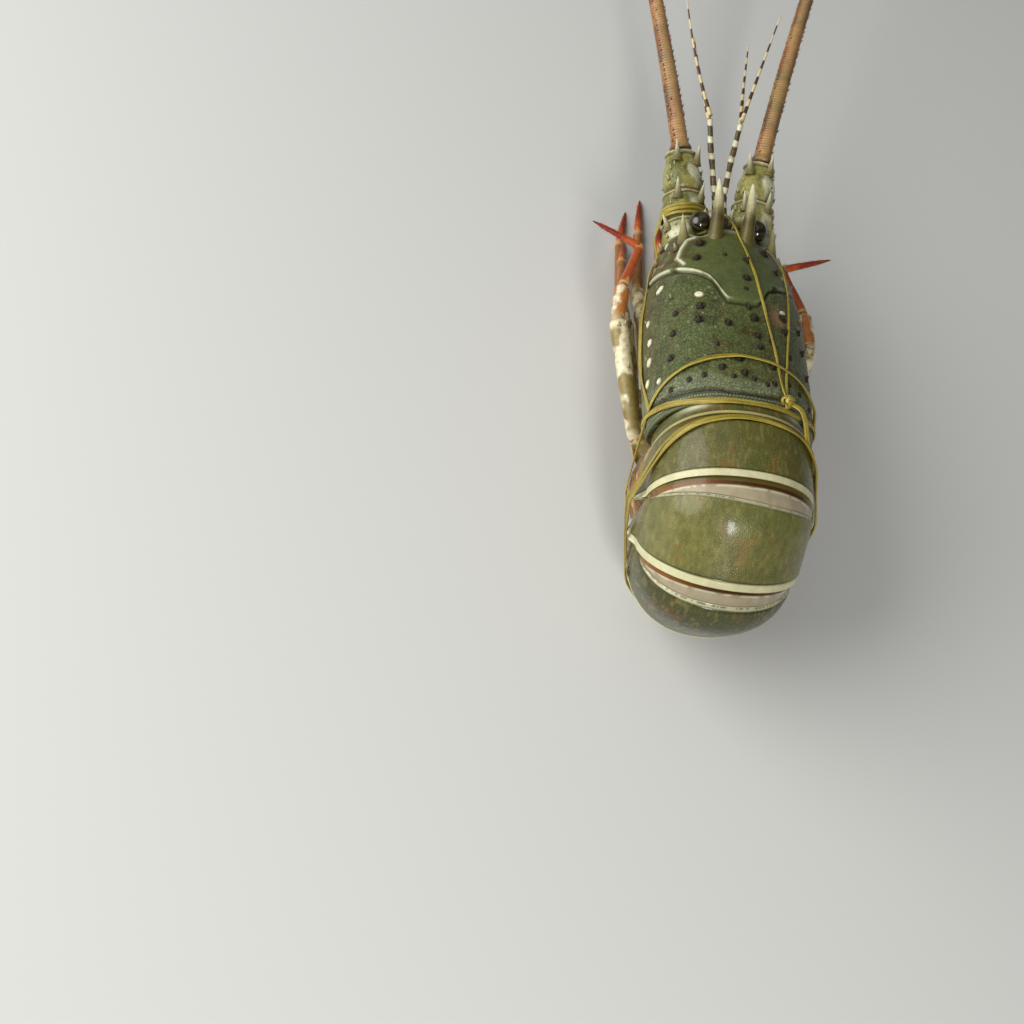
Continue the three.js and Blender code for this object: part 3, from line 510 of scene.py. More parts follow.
def carapace_point(t, angle):
    t, angle = np.broadcast_arrays(np.asarray(t, float), np.asarray(angle, float))
    s = carapace_station(t, angle)
    c = np.cos(angle)
    half, back, belly = (smooth(table, s) for table in (HALF_WIDTH, BACK_HEIGHT, BELLY_LEVEL))
    out = -(1.4 * ridge(t, GROOVE, 0.013) * np.clip(1.6 + c * 2, 0, 1)
            + 0.9 * ridge(t, RIM, 0.009) * np.clip(1 + c * 2, 0, 1))
    x = power(np.sin(angle), SQUARE) * (half + out) * np.where(c < 0, 1 - 0.2 * c * c, 1)
    high = WIDEST + (back - WIDEST + out) * np.abs(c) ** SQUARE
    low = WIDEST - (WIDEST - belly + out) * np.abs(c) ** 0.8
    down = np.maximum(-c, 0)
    y = (-CARAPACE_LENGTH * (1 - s) + 9 * (1 - s) ** 3 * down - 9 * s ** 4 * down ** 1.5
         + 4.5 * (1 - s) ** 9 * ridge(np.abs(angle), 0.5, 0.24))
    return vec(x, y, np.where(c >= 0, high, low))


def carapace_normal(t, angle):
    a = carapace_point(t + 0.004, angle) - carapace_point(t - 0.004, angle)
    b = carapace_point(t, angle + 0.01) - carapace_point(t, angle - 0.01)
    return unit(np.cross(b, a))


def back_place(x, y):
    """The row share and angle of a place on the back, seen from above."""
    s = 1 + y / CARAPACE_LENGTH
    reach = min(1, abs(x) / float(smooth(HALF_WIDTH, s))) ** (1 / SQUARE)
    angle = math.copysign(math.asin(reach), x)
    return row_share(s, angle), angle


# Spines of the back: x, y and foot radius; the last group stands on the shaded right side.
SPINES = [
    (14, -91, 1.9), (16.5, -79.5, 1.5), (5, -81, 0.8), (-4.7, -79, 1.6), (-2.8, -66.7, 1.6),
    (-1.7, -59.7, 0.8), (-18.2, -78.6, 1.4), (-15.9, -65, 1.4), (17.4, -48.6, 1.6),
    (18.3, -41.5, 1.6), (26.2, -47.6, 1.2), (27.2, -37.4, 1.4), (28.4, -25.2, 1.4),
    (7, -39.3, 1.3), (-2.1, -49, 1.1), (-4.1, -43.7, 1.6), (-4.8, -34.3, 1.4), (-5.6, -28.7, 1.2),
    (3.7, -21.3, 1.7), (10.5, -16.2, 1.3), (1.7, -14, 1.3), (17.4, -12.7, 1), (22.6, -11.6, 1),
    (6.2, -12, 0.8), (-2.1, -12, 1), (-7.6, -10.3, 0.9), (-10.8, -11.7, 1), (28.5, -9.5, 1),
    (-14, -91, 1.9), (-17.4, -48.6, 1.6), (-18.3, -41.5, 1.6), (-26.2, -47.6, 1.2),
    (-27.2, -37.4, 1.4), (-28.4, -25.2, 1.4), (-11, -33, 1.2), (-10.5, -20, 1.3), (-17.4, -14, 1),
    (-23, -12.4, 1), (-28.5, -9.5, 1), (12, -28, 0.9), (-19.5, -29, 1),
]
# Pale tubercles: station, angle, half length, half width and slant
OVALS = [
    (0.34, 1.12, 3.3, 1.6, 0.75), (0.445, 0.51, 2.2, 1.6, 1.4), (0.48, 1.38, 1.7, 1.5, 0),
    (0.05, 1.16, 2.6, 0.8, 0), (0.59, 1.34, 2.0, 1.7, 0.2), (0.69, 1.36, 2.3, 1.8, 0.2),
    (0.79, 1.42, 2.2, 1.6, 0.3), (0.83, 1.15, 1.5, 1.3, 0.6),
]
# The pale crest over each eye and down the cheek: x and y
STREAK = [(15.6, -97.5), (18.7, -94.4), (22, -86.7), (23.4, -81.4), (21.5, -76.6)]


def to_line(p, line):
    """Distance from points to a broken line."""
    best = np.full(p.shape[:-1], 1e9)
    for a, b in zip(line[:-1], line[1:]):
        way = b - a
        f = np.clip(((p - a) @ way) / (way @ way), 0, 1)
        best = np.minimum(best, np.linalg.norm(p - a - f[..., None] * way, axis=-1))
    return best


def to_ovals(p):
    """Distance from points to the nearest pale tubercle, 1 at its edge."""
    best = np.full(p.shape[:-1], 9.0)
    for station, angle, long, wide, slant in OVALS:
        for side, scale, setback in ((1, 1, 0), (-1, 0.8, RIGHT_SETBACK)):
            a = angle * side
            t = row_share(station + setback, a)
            middle = carapace_point(t, a)
            along = unit(carapace_point(t + 0.004, a) - middle)
            across = unit(carapace_point(t, (angle + 0.01) * side) - middle)
            d = p - middle
            u, v = d @ along, d @ across
            rest = (d * d).sum(-1) - u ** 2 - v ** 2
            c, s = math.cos(slant), math.sin(slant)
            size = np.sqrt(((u * c + v * s) / (long * scale)) ** 2
                           + ((v * c - u * s) ** 2 + rest) / (wide * scale) ** 2)
            best = np.minimum(best, size)
    return best


def lids(ring, centre, steps):
    """Rings inside the end ring of a grid: each step is a scale and a shift along Y."""
    made = np.array([centre + (ring - centre) * scale for scale, _ in steps])
    made[..., 1] = ring[:, 1] + np.array([[depth] for _, depth in steps])
    return made


def carapace():
    rows, upper, lower, seam = 300, 252, 64, 1.75
    angle = np.concatenate([np.linspace(-seam, seam, upper),
                            np.linspace(seam, 2 * math.pi - seam, lower + 2)[1:-1]])
    T, A = np.meshgrid(np.linspace(0, 1, rows), (angle + math.pi) % (2 * math.pi) - math.pi,
                       indexing="ij")
    p = carapace_point(T, A)
    n = outward(p, (0, -50, -2))
    s = carapace_station(T, A)
    off = np.abs(A)
    c = np.cos(A)
    top = step_up(c, -0.35, 0.1)
    behind = step_up(T, GROOVE + 0.01, GROOVE + 0.04)

    # Relief: granules, the band and the beaded hem at the back, and sparse knobs
    bead, tag = cells(p, 1.25, 3)
    dome = np.clip(1 - bead / 0.55, 0, 1) ** 0.8
    fine = domes(p, 0.95, 5, 0.55)
    across, down = A * 34 / 1.3, T * 50 / 0.62
    row_bead = np.hypot((across + 0.5 * (np.floor(down) % 2)) % 1 - 0.5, down % 1 - 0.5)
    row_bead = np.clip(1 - row_bead / 0.5, 0, 1) ** 0.7
    band = step_up(T, 0.885, 0.9) * (1 - step_up(T, 0.94, 0.948))
    hem = step_up(T, 0.958, 0.966) * (1 - step_up(T, 0.992, 0.999))
    knobs = domes(p, 3.6, 8, 0.26, 0.45) * behind * (1 - hem)
    relief = top * (dome * (0.05 + 0.11 * behind) + 0.22 * fine * band + 0.4 * row_bead * hem
                    + 0.3 * knobs + 0.35 * (fractal(p, 14, 21) - 0.5))
    # The front plate stands proud along the groove, and the wall behind it is steep
    wander = T + 0.012 * (fractal(p, 5, 27) - 0.5)
    # Full weight on the left, lit side and a quarter on the right, shaded side: it sets the ridge
    # along the groove and, as painted shade, dims the pale groove line on the right.
    lit_side = np.where(A > 0, 1, 0.25)
    edge = ridge(wander, GROOVE - 0.03, 0.012) * top * step_up(off, 0.1, 0.3)
    relief += 0.36 * edge * lit_side * (0.3 + 1.3 * fractal(p, 5, 23))
    to_streak = np.minimum(*[to_line(p, [carapace_point(*back_place(x * side, y))
                                         for x, y in STREAK]) for side, _ in SIDES])
    brow = ridge(T, 0.012, 0.012) * top
    relief += 0.5 * ridge(to_streak, 0, 0.8) + 0.35 * brow
    halo = np.zeros_like(T)
    for x, y, r in SPINES:
        d = np.linalg.norm(p - carapace_point(*back_place(x, y)), axis=-1)
        relief += 0.3 * r * ridge(d, 0, 1.3 * r)
        halo = np.maximum(halo, 1 - step_up(d, 1.05 * r, 1.8 * r))
    oval = to_ovals(p)
    relief += 0.6 * np.sqrt(np.clip(1 - oval ** 2, 0, 1)) - 0.2 * ridge(oval, 1.2, 0.18)
    p = raised(p, n, relief)

    # Colour
    wide_blot = fractal(p, 16, 31)
    small_blot = fractal(p, 4.5, 37)
    front = (1 - behind) * top
    cheek = step_up(off, 0.72, 0.9) * front
    # The pale line along the front edge of the groove: partly the shell's own cream edge, partly a
    # painted highlight on that edge, and a quarter as strong on the right as painted shade.
    cream = (ridge(wander, GROOVE - 0.02, 0.005 + 0.006 * step_up(off, 0.32, 0.6)) * top
             * step_up(off, 0.08, 0.24) * lit_side)
    scar = ridge(A, -0.45, 0.14) * ridge(s, 0.52, 0.045)
    under = 1 - step_up(c, -0.5, -0.15)
    paint = painted(
        p, OLIVE, (OLIVE_GREEN, step_up(wide_blot, 0.3, 0.65)),
        ((82, 76, 34), 0.85 * step_up(off, 0.95, 1.4)),
        ((92, 102, 64), 0.5 * (1 - behind) * step_up(wide_blot, 0.25, 0.6)),
        (OLIVE_DEEP, 0.6 * step_up(small_blot, 0.5, 0.72) * behind),
        ((88, 78, 42), 0.5 * blots(p, 7, 47, 0.52, 0.68) * behind),
        (BROWN, 0.4 * blots(p, 9, 43, 0.58, 0.75)),
        (PALE_GRAIN, (0.1 + 0.3 * tag) * step_up(dome, 0.3, 0.8) * behind * top),
        (BROWN, 0.75 * cheek * step_up(small_blot, 0.35, 0.6)),
        (SAND, 0.55 * cheek * blots(p, 3.4, 45, 0.58, 0.7)),
        (PALE_GRAIN, 0.22 * step_up(dome, 0.4, 0.9) * front),
        (OLIVE_DEEP, 0.28 * (1 - step_up(dome, 0, 0.5)) * behind * top),
        (PALE_GRAIN, 0.75 * step_up(knobs, 0.2, 0.8)),
        (BLUE_GREY, 0.8 * np.maximum(band, step_up(T, RIM - 0.008, RIM))),
        ((158, 158, 126), 0.7 * step_up(fine, 0.15, 0.6) * band),
        (OLIVE_DEEP, 0.55 * hem * (1 - row_bead) * top),
        ((150, 158, 128), 0.8 * hem * step_up(row_bead, 0.3, 0.75)),
        (DARK, 0.9 * ridge(T, RIM - 0.001, 0.0075) * top),
        # A dark band just behind the groove's edge is painted shadow in the groove.
        (OLIVE_DEEP, 0.85 * ridge(T, GROOVE + 0.004, 0.012) * top),
        (CREAM, 0.8 * cream * blots(p, 3.2, 39, 0.25, 0.6)),
        ((170, 120, 92), 0.7 * scar),
        (BROWN, 0.7 * ridge(to_streak, 3, 1.6) * (s < 0.2)),
        (CREAM, 0.95 * ridge(to_streak, 0, 0.75) * np.where(A > 0, 1, 0.5)),
        (CREAM, 0.3 * brow), ((30, 26, 10), 0.95 * halo), (BROWN, 0.7 * ridge(oval, 1.25, 0.25)),
        (CREAM, 1 - step_up(oval, 0.75, 1.05)), (BONE, 0.85 * under))
    rough = 0.36 + 0.1 * small_blot + 0.1 * under - 0.1 * hem
    grainy = top * (0.5 + 0.5 * behind)

    # Lids: the face sinks in a little, and the hind edge turns under to take the tail
    face = lids(p[0], np.array([0, -97, -1.0]),
                ((0.2, 3.5), (0.6, 3.2), (0.85, 2.2), (0.95, 0.6), (0.985, -0.2)))
    hollow = lids(p[-1], np.array([0, 0, -1.0]), ((0.985, 0.3), (0.965, 0.1), (0.95, -0.7),
                                                  (0.9, -1.4), (0.5, -5), (0.1, -6)))
    face_paint = painted(face, SAND, (BROWN, fractal(face, 4, 51)))
    hollow_paint = painted(hollow, (112, 108, 66), (BONE, blots(hollow, 6, 53, 0.45, 0.6)))
    hollow_paint[:2] = paint[-1]
    face_paint[-2:] = paint[0]
    matt = np.array([0.5, 0.2, 0.3])
    skin = np.concatenate([face, p, hollow])
    shell = Piece()
    shell.grid(skin, np.concatenate([face_paint, paint, hollow_paint]), np.concatenate(
        [matt + 0 * face, vec(rough, grainy, grainy), matt + 0 * hollow]))
    shell.make("carapace_shell", "shell", SHELL, ["carapace"])
    return skin


def spines():
    piece = Piece()
    for x, y, r in SPINES:
        t, angle = back_place(x, y)
        foot, out = carapace_point(t, angle), carapace_normal(t, angle)
        lean = unit(out + np.array([0, -0.95, 0]))
        cone(piece, foot + out * 0.1, foot + out * 0.2 + lean * (0.7 + 0.75 * r), r * 0.85,
             (32, 21, 8), (66, 43, 17), (0.7, 0.1, 0.2), sides=14, rows=10)
    finish = (0.32, 0.1, 0.2)
    for side, _ in SIDES:
        # The strong spine outside each eye, and a few along the cheek
        cone(piece, (19.4 * side, -94, 9.5), (20.4 * side, -107.5, 14), 3, OLIVE_WARM, BONE, finish,
             sides=20, rows=22, sink=3, bow=0.5)
        for t, angle, r, long in ((0.22, 0.88, 1.3, 3.4), (0.12, 1.25, 1.5, 4.2),
                                  (0.3, 1.3, 1.1, 2.8), (0.6, 0.9, 0.8, 2), (0.65, 1.4, 0.8, 2),
                                  (0.78, 1.4, 0.8, 1.8)):
            foot = carapace_point(t, angle * side)
            lean = unit(carapace_normal(t, angle * side) + np.array([0, -1.2, 0]))
            cone(piece, foot, foot + lean * long, r, BROWN, BONE, finish, sides=14)
    piece.make("carapace_spines", "shell", HORN)


# Tail
def tail_ways(bend):
    """The way along the tail and the way up, for a bend in degrees."""
    a = math.radians(bend)
    return np.array([0, math.cos(a), math.sin(a)]), np.array([0, -math.sin(a), math.cos(a)])


HINGES = np.cumsum([(0, 0, HINGE_LEVEL), *(tail_ways(bend)[0] * length
                                           for length, bend in zip(LENGTH, BEND))], axis=0)


def somite_bends(k):
    """How far the front and the hind end of a segment turn towards its neighbours."""
    before = (BEND[k - 1] - BEND[k]) * (1 - HIND_SHARE) if k else HINGE_ALLOWANCE
    after = (BEND[k] - BEND[k + 1]) * HIND_SHARE if k < LAST else 0
    return math.radians(before), math.radians(after)


def somite_point(k, x, height, run):
    """A point of a segment; run is the distance in millimetres from its front edge."""
    along, up = tail_ways(BEND[k])
    before, after = somite_bends(k)
    length = LENGTH[k]
    x, height, run = np.broadcast_arrays(*(np.asarray(v, float) for v in (x, height, run)))
    tall = np.maximum(height, 1e-6)
    first = tall * before
    turn_in = before - run / tall
    turn_out = (run - first - length) / tall

    def bent(at_front, between, at_back):
        return np.where(run < first, at_front, np.where(run < first + length, between, at_back))

    # Below the hinge the rows run straight from one end to the other
    start, end = -height * math.tan(before), length + height * math.tan(after)
    a = np.where(height > 0, bent(-tall * np.sin(turn_in), run - first,
                                  length + tall * np.sin(turn_out)),
                 start + (end - start) * run / length)
    v = np.where(height > 0, bent(tall * np.cos(turn_in), height, tall * np.cos(turn_out)), height)
    return HINGES[k] + a[..., None] * along + v[..., None] * up + vec(x, 0, 0)


def somite(k):
    along, up = tail_ways(BEND[k])
    before, after = somite_bends(k)
    front_rows, main_rows, hind_rows = (40, 120, 18) if k else (10, 26, 16)
    S = np.concatenate([np.linspace(0, FACET_END, front_rows, endpoint=False),
                        np.linspace(FACET_END, MARGIN_START, main_rows, endpoint=False),
                        np.linspace(MARGIN_START, 1, hind_rows)])[:, None]
    arch, wing, floor, belly = 170, 20, 18, 24

    # Size, and how far the shell stands out from it
    behind = min(k + 1, LAST)
    size = 1 - S * 0.35
    taper = 1 - 0.18 * S ** 1.5 if k == LAST else 1
    half = (WIDTH[k] * size + WIDTH[behind] * (1 - size)) / 2 * taper
    height = (HEIGHT[k] * size + HEIGHT[behind] * (1 - size)) * taper
    main = np.clip((S - FACET_END) / (1 - FACET_END), 0, 1)
    lift = (BULGE[k] * np.sin(math.pi * main ** 0.8) - 1.3 * (1 - step_up(S, 0.27, 0.33))
            + 0.25 * step_up(S, 0.7, 0.85) + 0.4 * step_up(S, 0.845, 0.87)
            - 0.25 * ridge(S, 0.838, 0.008) - 0.3 * ridge(S, 0.3, 0.012))
    depth = np.maximum(5.5, FLAP[k] * (0.3 + 0.7 * np.sin(math.pi * S ** 1.2) ** 0.8))
    side = half + lift * 0.4

    # Each row: the arch of the back, a flap down its outer face to the point and back up inside,
    # the belly wall, and the other flap
    angle = np.linspace(-math.pi / 2, math.pi / 2, arch)
    f = np.linspace(0, 1, wing + 1)[1:]
    g = np.linspace(0, 1, floor + 1)[1:]
    u = np.linspace(1, -1, belly + 2)[1:-1]
    rise = np.maximum(0, np.cos(angle))
    flare = FLARE[k] * step_up(S, 0.2, 0.9)
    wing_x = side + smooth([(0, 0), (0.4, -0.4), (0.8, -0.9), (1, -1.4)], f) + flare * f ** 1.4
    wing_v = smooth([(0, 0), (0.45, -0.45), (0.8, -0.82), (1, -1)], f) * depth
    in_x = side + smooth([(0, -1.9), (0.35, -4.6), (1, -9)], g) + flare * (1 - g) ** 1.6
    in_v = -depth + (depth + BELLY_WALL) * smooth([(0, 0), (0.35, 0.9), (1, 1)], g)
    x = np.concatenate([side * power(np.sin(angle), 0.92), wing_x, in_x, (side - 9) * u,
                        -in_x[:, ::-1], -wing_x[:, ::-1]], 1)
    v = np.concatenate([(height + lift) * rise ** 0.92, wing_v, in_v,
                        BELLY_WALL - 0.8 * np.cos(u * math.pi / 2) ** 2 + 0 * S,
                        in_v[:, ::-1], wing_v[:, ::-1]], 1)
    rest = np.zeros(x.shape[1] - arch)
    up_share = np.concatenate([rise, rest]) + 0 * S
    across = np.concatenate([np.sin(angle), rest]) + 0 * S
    kind = np.repeat((0, 1, 2, 3, 2, 1), (arch, wing, floor, belly, floor, wing)) + 0 * S
    drop = np.concatenate([0 * angle, f, 1 + g, 2 + 0 * u, 1 + g[::-1], f[::-1]]) + 0 * S
    outer, inner = kind < 1.5, kind > 2.5

    total = HEIGHT[k] * up_share * (before + after) + LENGTH[k]
    share = 1 - 0.3 * step_up(across, -0.5, 0.8) if k == 2 else 1
    reach = 0.5 + FACET[k] * share * up_share ** 0.7
    facet, margin = reach / total, MARGIN[k] / total
    main = (S - FACET_END) / (MARGIN_START - FACET_END)
    q = np.where(S < FACET_END, facet * S / FACET_END, np.where(
        S < MARGIN_START, facet + (1 - margin - facet) * main,
        1 - margin * (1 - S) / (1 - MARGIN_START)))
    p = somite_point(k, x, v, q * (np.maximum(v, 0) * (before + after) + LENGTH[k]))
    from_front = q * total

    # A tongue in front runs on under the segment before
    forward = -(along * math.cos(before) + up * math.sin(before))
    centre = HINGES[k] + up * 4
    steps = ((4.5, 0.93), (2.6, 0.955), (1.0, 0.98)) if k else ((4, 0.96), (2, 0.97))
    tongue = np.array([centre + (p[0] + forward * far - centre) * pinch for far, pinch in steps])

    grow = fractal(p, 11, 60 + k)
    fine = fractal(p, 2.4, 70 + k, 2)
    streak = noise(p * [1, 0.35, 0.35], 0.9, 80 + k)
    dents = np.abs(noise(vec(across * 40, 0, 0), 0.9, 90 + k) - 0.5) < 0.17
    p = raised(p, outward(p, HINGES[k] + along * LENGTH[k] / 2), outer * (
        0.05 * (streak - 0.5) * (S > 0.34) * (S < 0.83) + 0.12 * (fine - 0.5) * (S >= 0.86)))

    # The segment's base colour carries the painted light and shade set in the table of segments.
    paint = painted(
        p, OLIVES[k], (OLIVE_GREEN, 0.3 * step_up(grow, 0.3, 0.7)),
        ((138, 84, 38), 0.3 * blots(p, 8, 95 + k, 0.6, 0.8)),
        (OLIVE_DEEP, 0.22 * step_up(streak, 0.5, 0.8) * outer),
        ((160, 152, 92), 0.22 * step_up(1 - streak, 0.6, 0.85) * outer))
    if k == 2:
        nick = np.linalg.norm(p - somite_point(k, 7, 33, 11.5), axis=-1)
        paint = layered(paint, (CREAM, 0.35 * (1 - step_up(nick, 0.4, 1.2))))
    paint = layered(paint, (OLIVE_WARM, 0.5 * (1 - step_up(up_share, 0, 0.35))))
    if k:
        # The facet shown where the tail bends: a brown line, a painted highlight line, a pinkish
        # crescent, a dashed groove
        bared = (S < FACET_END) * (k > 1)
        crescent = step_up(from_front, 2.6, 3.4) * (1 - step_up(from_front, reach - 1, reach - 0.5))
        brown = ((1 if k > 1 else 0.4) * (S < FACET_END) * step_up(from_front, 1.2, 1.5)
                 * (1 - step_up(from_front, 2.5, 3.0)))
        ends = bared * (1 - step_up(up_share, 0.22, 0.5))
        near = np.abs(S - FACET_END)
        paint = layered(
            paint, ((88, 80, 34), 1.0 * (S < 0.31)),
            (PINK_GREY, crescent * (0.7 + 0.35 * fine) * step_up(up_share, 0.05, 0.35)),
            ((70, 38, 12), brown), ((140, 82, 28), 0.8 * brown * step_up(across, 0.1, 0.8)),
            # A broken cream line along the crescent's front edge is a painted highlight.
            (CREAM, 0.55 * ridge(from_front, 3.5, 0.4) * bared * (fine > 0.4)),
            ((150, 112, 50), 0.85 * ends * (0.5 + fine)),
            (BROWN, 0.6 * ends * step_up(fine, 0.5, 0.7)),
            (CREAM, 0.65 * (1 - step_up(near, 0.009, 0.02)) * step_up(up_share, 0.1, 0.3)),
            (DARK, 0.7 * (1 - step_up(near, 0.003, 0.008)) * dents))
    else:
        paint = layered(paint, (CREAM, 0.9 * ridge(S, 0.45, 0.14) * step_up(grow, 0.25, 0.5)
                                * ridge(np.abs(across), 0.62, 0.16)))
    for way, _ in SIDES if k > 1 else ():
        hub = somite_point(k, way * WIDTH[k] * 0.478, 7.5, 2.6)
        off = np.linalg.norm(p - hub, axis=-1) + 1.2 * (fine - 0.5)
        paint = layered(paint, ((116, 88, 40), 0.6 * (1 - step_up(off, 0.7, 2.4))),
                        ((58, 38, 14), 0.5 * ridge(off, 2.3, 0.6)))
    rimmed = step_up(S, 0.842, 0.852)
    paint = layered(
        paint, ((52, 44, 20), 0.75 * ridge(S, 0.836, 0.006) * outer),
        ((206, 202, 160) if k else (168, 162, 108), rimmed * (0.86 + 0.25 * fine) * ~inner),
        ((150, 138, 84), 0.7 * step_up(S, 0.985, 1) * outer),
        (CREAM, 0.85 * step_up(drop, 0.55, 0.95) * ~inner * step_up(S, 0.3, 0.6)),
        (BONE, 0.8 * inner), (PINK_GREY, 0.8 * ridge(S, 0.5, 0.16) * inner))
    gloss = np.where(rimmed > 0.5, 0.34, np.where(outer, 0.24 + 0.1 * fine, 0.45))
    grainy = outer * (S > 0.33)
    finish = vec(gloss, grainy * (S < 0.84), grainy * (S < 0.83))

    piece = Piece()
    lid = centre + (p[-1:] - centre) * 0.96
    piece.grid(np.concatenate([tongue, p, lid]),
               np.concatenate([painted(tongue, (150, 104, 52)), paint, paint[-1:]]),
               np.concatenate([0 * tongue + (0.4, 0.1, 0.2), finish, finish[-1:]]))
    for way, _ in SIDES if 0 < k < LAST else ():
        swimmeret(piece, k, way)
    piece.make(f"tail_segment_{k + 1}", "shell", TAIL, [f"abdomen_{k + 1}"])
    return p


def flank_skin():
    """The soft wrinkled skin between the hind corner of the carapace and the first big side flap."""
    skins = []
    for way, mark in SIDES:
        p, angle, out, rows = tube(
            [(26, -5, -14, 0.8, 3), (29.6, 1, -16.5, 1.6, 6), (31.8, 8, -19.5, 2.1, 8),
             (32.2, 15, -23.5, 2.1, 8.2), (30.6, 22, -28, 1.6, 6.5), (27, 28, -32, 0.8, 3.5)],
            150, 90, way, np.broadcast_to((-0.27 * way, 0, 1), (150, 3)))
        run = np.linspace(0, 38, len(rows))[:, None]
        drop = np.sin(angle) * rows[:, 4:] + 3 * (noise(p, 5, 213) - 0.5)
        folds = (0.6 * noise(vec(run * 0.2, drop, 0), 1.5, 210)
                 + 0.4 * noise(vec(run * 0.5, drop * 1.4, 0), 0.8, 211))
        p = raised(p, out, 1.3 * (folds - 0.5))
        piece = Piece()
        # Darker in the fold hollows as painted shade and paler along the fold crests as painted
        # light.
        piece.grid(p, painted(p, (136, 96, 50), ((184, 152, 100), step_up(folds, 0.52, 0.75)),
                              ((84, 56, 26), 0.7 * (1 - step_up(folds, 0.3, 0.48))),
                              ((150, 140, 90), 0.5 * blots(p, 4, 212, 0.5, 0.7))), (0.42, 0, 0.3))
        piece.make(f"flank_skin_{mark}", "belly", BELLY)
        skins.append(p)
    return skins


def swimmeret(piece, k, way):
    along, up = tail_ways(BEND[k])
    root = somite_point(k, way * 15, BELLY_WALL + 1.5, LENGTH[k] * 0.5)
    ahead = unit(along - 0.75 * up + np.array([-way * 0.25, 0, 0]))
    f = np.linspace(0, 1, 34)[:, None]
    wide = 12 * smooth([(0, 0.16), (0.2, 0.3), (0.55, 0.5), (0.85, 0.42), (0.97, 0.22), (1, 0.1)], f)
    path = root + ahead * 13 * f + up * 0.6 * np.sin(f * math.pi)
    p, angle, _ = swept(path, wide, 0.55 - 0.25 * f, 36, up)
    rays = 0.5 + 0.5 * np.cos(np.arctan2(p[..., 0] - root[0], 2 + 13 * f) * 40)
    rim = np.maximum(step_up(np.abs(np.cos(angle)), 0.8, 0.97), step_up(f, 0.9, 1))
    piece.grid(p, painted(p, (176, 90, 46), (RUST, 0.6 * rays), ((226, 196, 148), 0.85 * rim)),
               (0.38, 0, 0.3))


# Fan
BLADE = [(0, 0.3), (0.18, 0.42), (0.5, 0.5), (0.8, 0.49), (0.93, 0.42), (1, 0.2)]
BLADE_ROUND = 0.94
# Name, place across, up and along from the last hinge, turn outwards, length, width and thickness
BLADES = [("telson", 0, 12, 0.9, 0, 50, 24, 2.2), ("uropod_endopod", 10, 9, 1, 3, 47, 21, 1.7),
          ("uropod_exopod", 12, 6, 1, 5.5, 49, 25, 1.7)]


def blades():
    way, face = tail_ways(-184)
    along, up = tail_ways(BEND[LAST])
    bristles = Piece()
    tile = 0
    rng = np.random.default_rng(12)
    f = np.concatenate([np.linspace(0, BLADE_ROUND, 126), BLADE_ROUND + (1 - BLADE_ROUND) * np.sin(
        np.linspace(0, math.pi / 2, 25)[1:])])[:, None]
    dome = np.sqrt(np.clip(1 - ((f - BLADE_ROUND) / 0.0605) ** 2, 0, 1))
    outline = smooth(BLADE, f)
    outline = np.where(f > BLADE_ROUND, smooth(BLADE, BLADE_ROUND) * dome * 0.4 + outline * 0.6,
                       outline)
    soft = step_up(f, 0.28, 0.46)
    for name, x, v, out, turn, length, width, thick in BLADES:
        for side, mark in ((1, "_l"), (-1, "_r")) if x else ((1, ""),):
            t = math.radians(turn)
            ahead = unit(way * math.cos(t) + np.array([side * math.sin(t), 0, 0]))
            across = np.cross(ahead, face)
            root = HINGES[-1] + up * v + np.array([x * side, 0, 0]) + along * out
            path = root + ahead * length * f
            high = thick / 2 * smooth([(0, 1), (0.3, 0.95), (0.6, 0.75), (1, 0.4)], f)
            p, angle, _ = swept(path, width * outline, high, 76, face, exponent=0.9)
            lateral = np.cos(angle) * width * outline
            ribs = 0.5 + 0.5 * np.cos(np.arctan2(lateral, 14 + length * f) * 62 * 2.2)
            keel = ridge(lateral, 0, 1.5) + ridge(np.abs(lateral), 0.3 * width, 1.1)
            p = raised(p, outward(p, path[:, None]),
                       0.13 * ribs * soft + 0.3 * keel * (1 - soft) - 0.02)
            paint = painted(
                p, (112, 98, 52), (OLIVE_DEEP, blots(p, 5, 130, 0.4, 0.7)),
                ((172, 120, 58), soft * 0.85), ((104, 62, 28), soft * 0.7 * (1 - ribs)),
                ((96, 60, 30), 0.6 * ridge(f, 0.86, 0.05)),
                ((216, 196, 134), 0.9 * step_up(f, 0.93, 0.99)),
                ((206, 186, 124), 0.7 * step_up(np.abs(np.cos(angle)), 0.93, 1)),
                (CREAM, 0.7 * (domes(p, 5, 140, 0.3) > 0.15) * (1 - soft)))
            piece = Piece()
            piece.grid(p, paint, (0.32, 0.5, 0.6))
            for _ in range(26):
                at = rng.uniform(0.06, 0.3)
                off = rng.uniform(-0.32, 0.32) * width
                foot = root + ahead * length * at + across * off - face * thick * 0.4
                cone(piece, foot, foot - face * 0.55 + ahead * 0.9, 0.3, BROWN, CREAM,
                     (0.35, 0, 0), sides=6, rows=5, sink=0.3)
            piece.make(name + mark + "_blade", "fan", FAN, [name + mark])
            for _ in range(520):
                u = rng.uniform(-1, 1)
                at = 1 - 0.16 * abs(u) ** 3.2
                reach = width * u * (float(smooth(BLADE, at)) if abs(u) > 0.55 else 0.42)
                foot = root + ahead * length * (at - 0.025) + across * reach
                tip = foot + ahead * rng.uniform(1.8, 2.8) + across * u * rng.uniform(0.2, 0.9)
                hair(bristles, foot, tip, 0.09, (196, 160, 96),
                     ((tile + 0.5 + 0.45 * u) / 5, at))
            tile += 1
    bristles.make("fan_fringe", "fan", SETAE, coat=True)


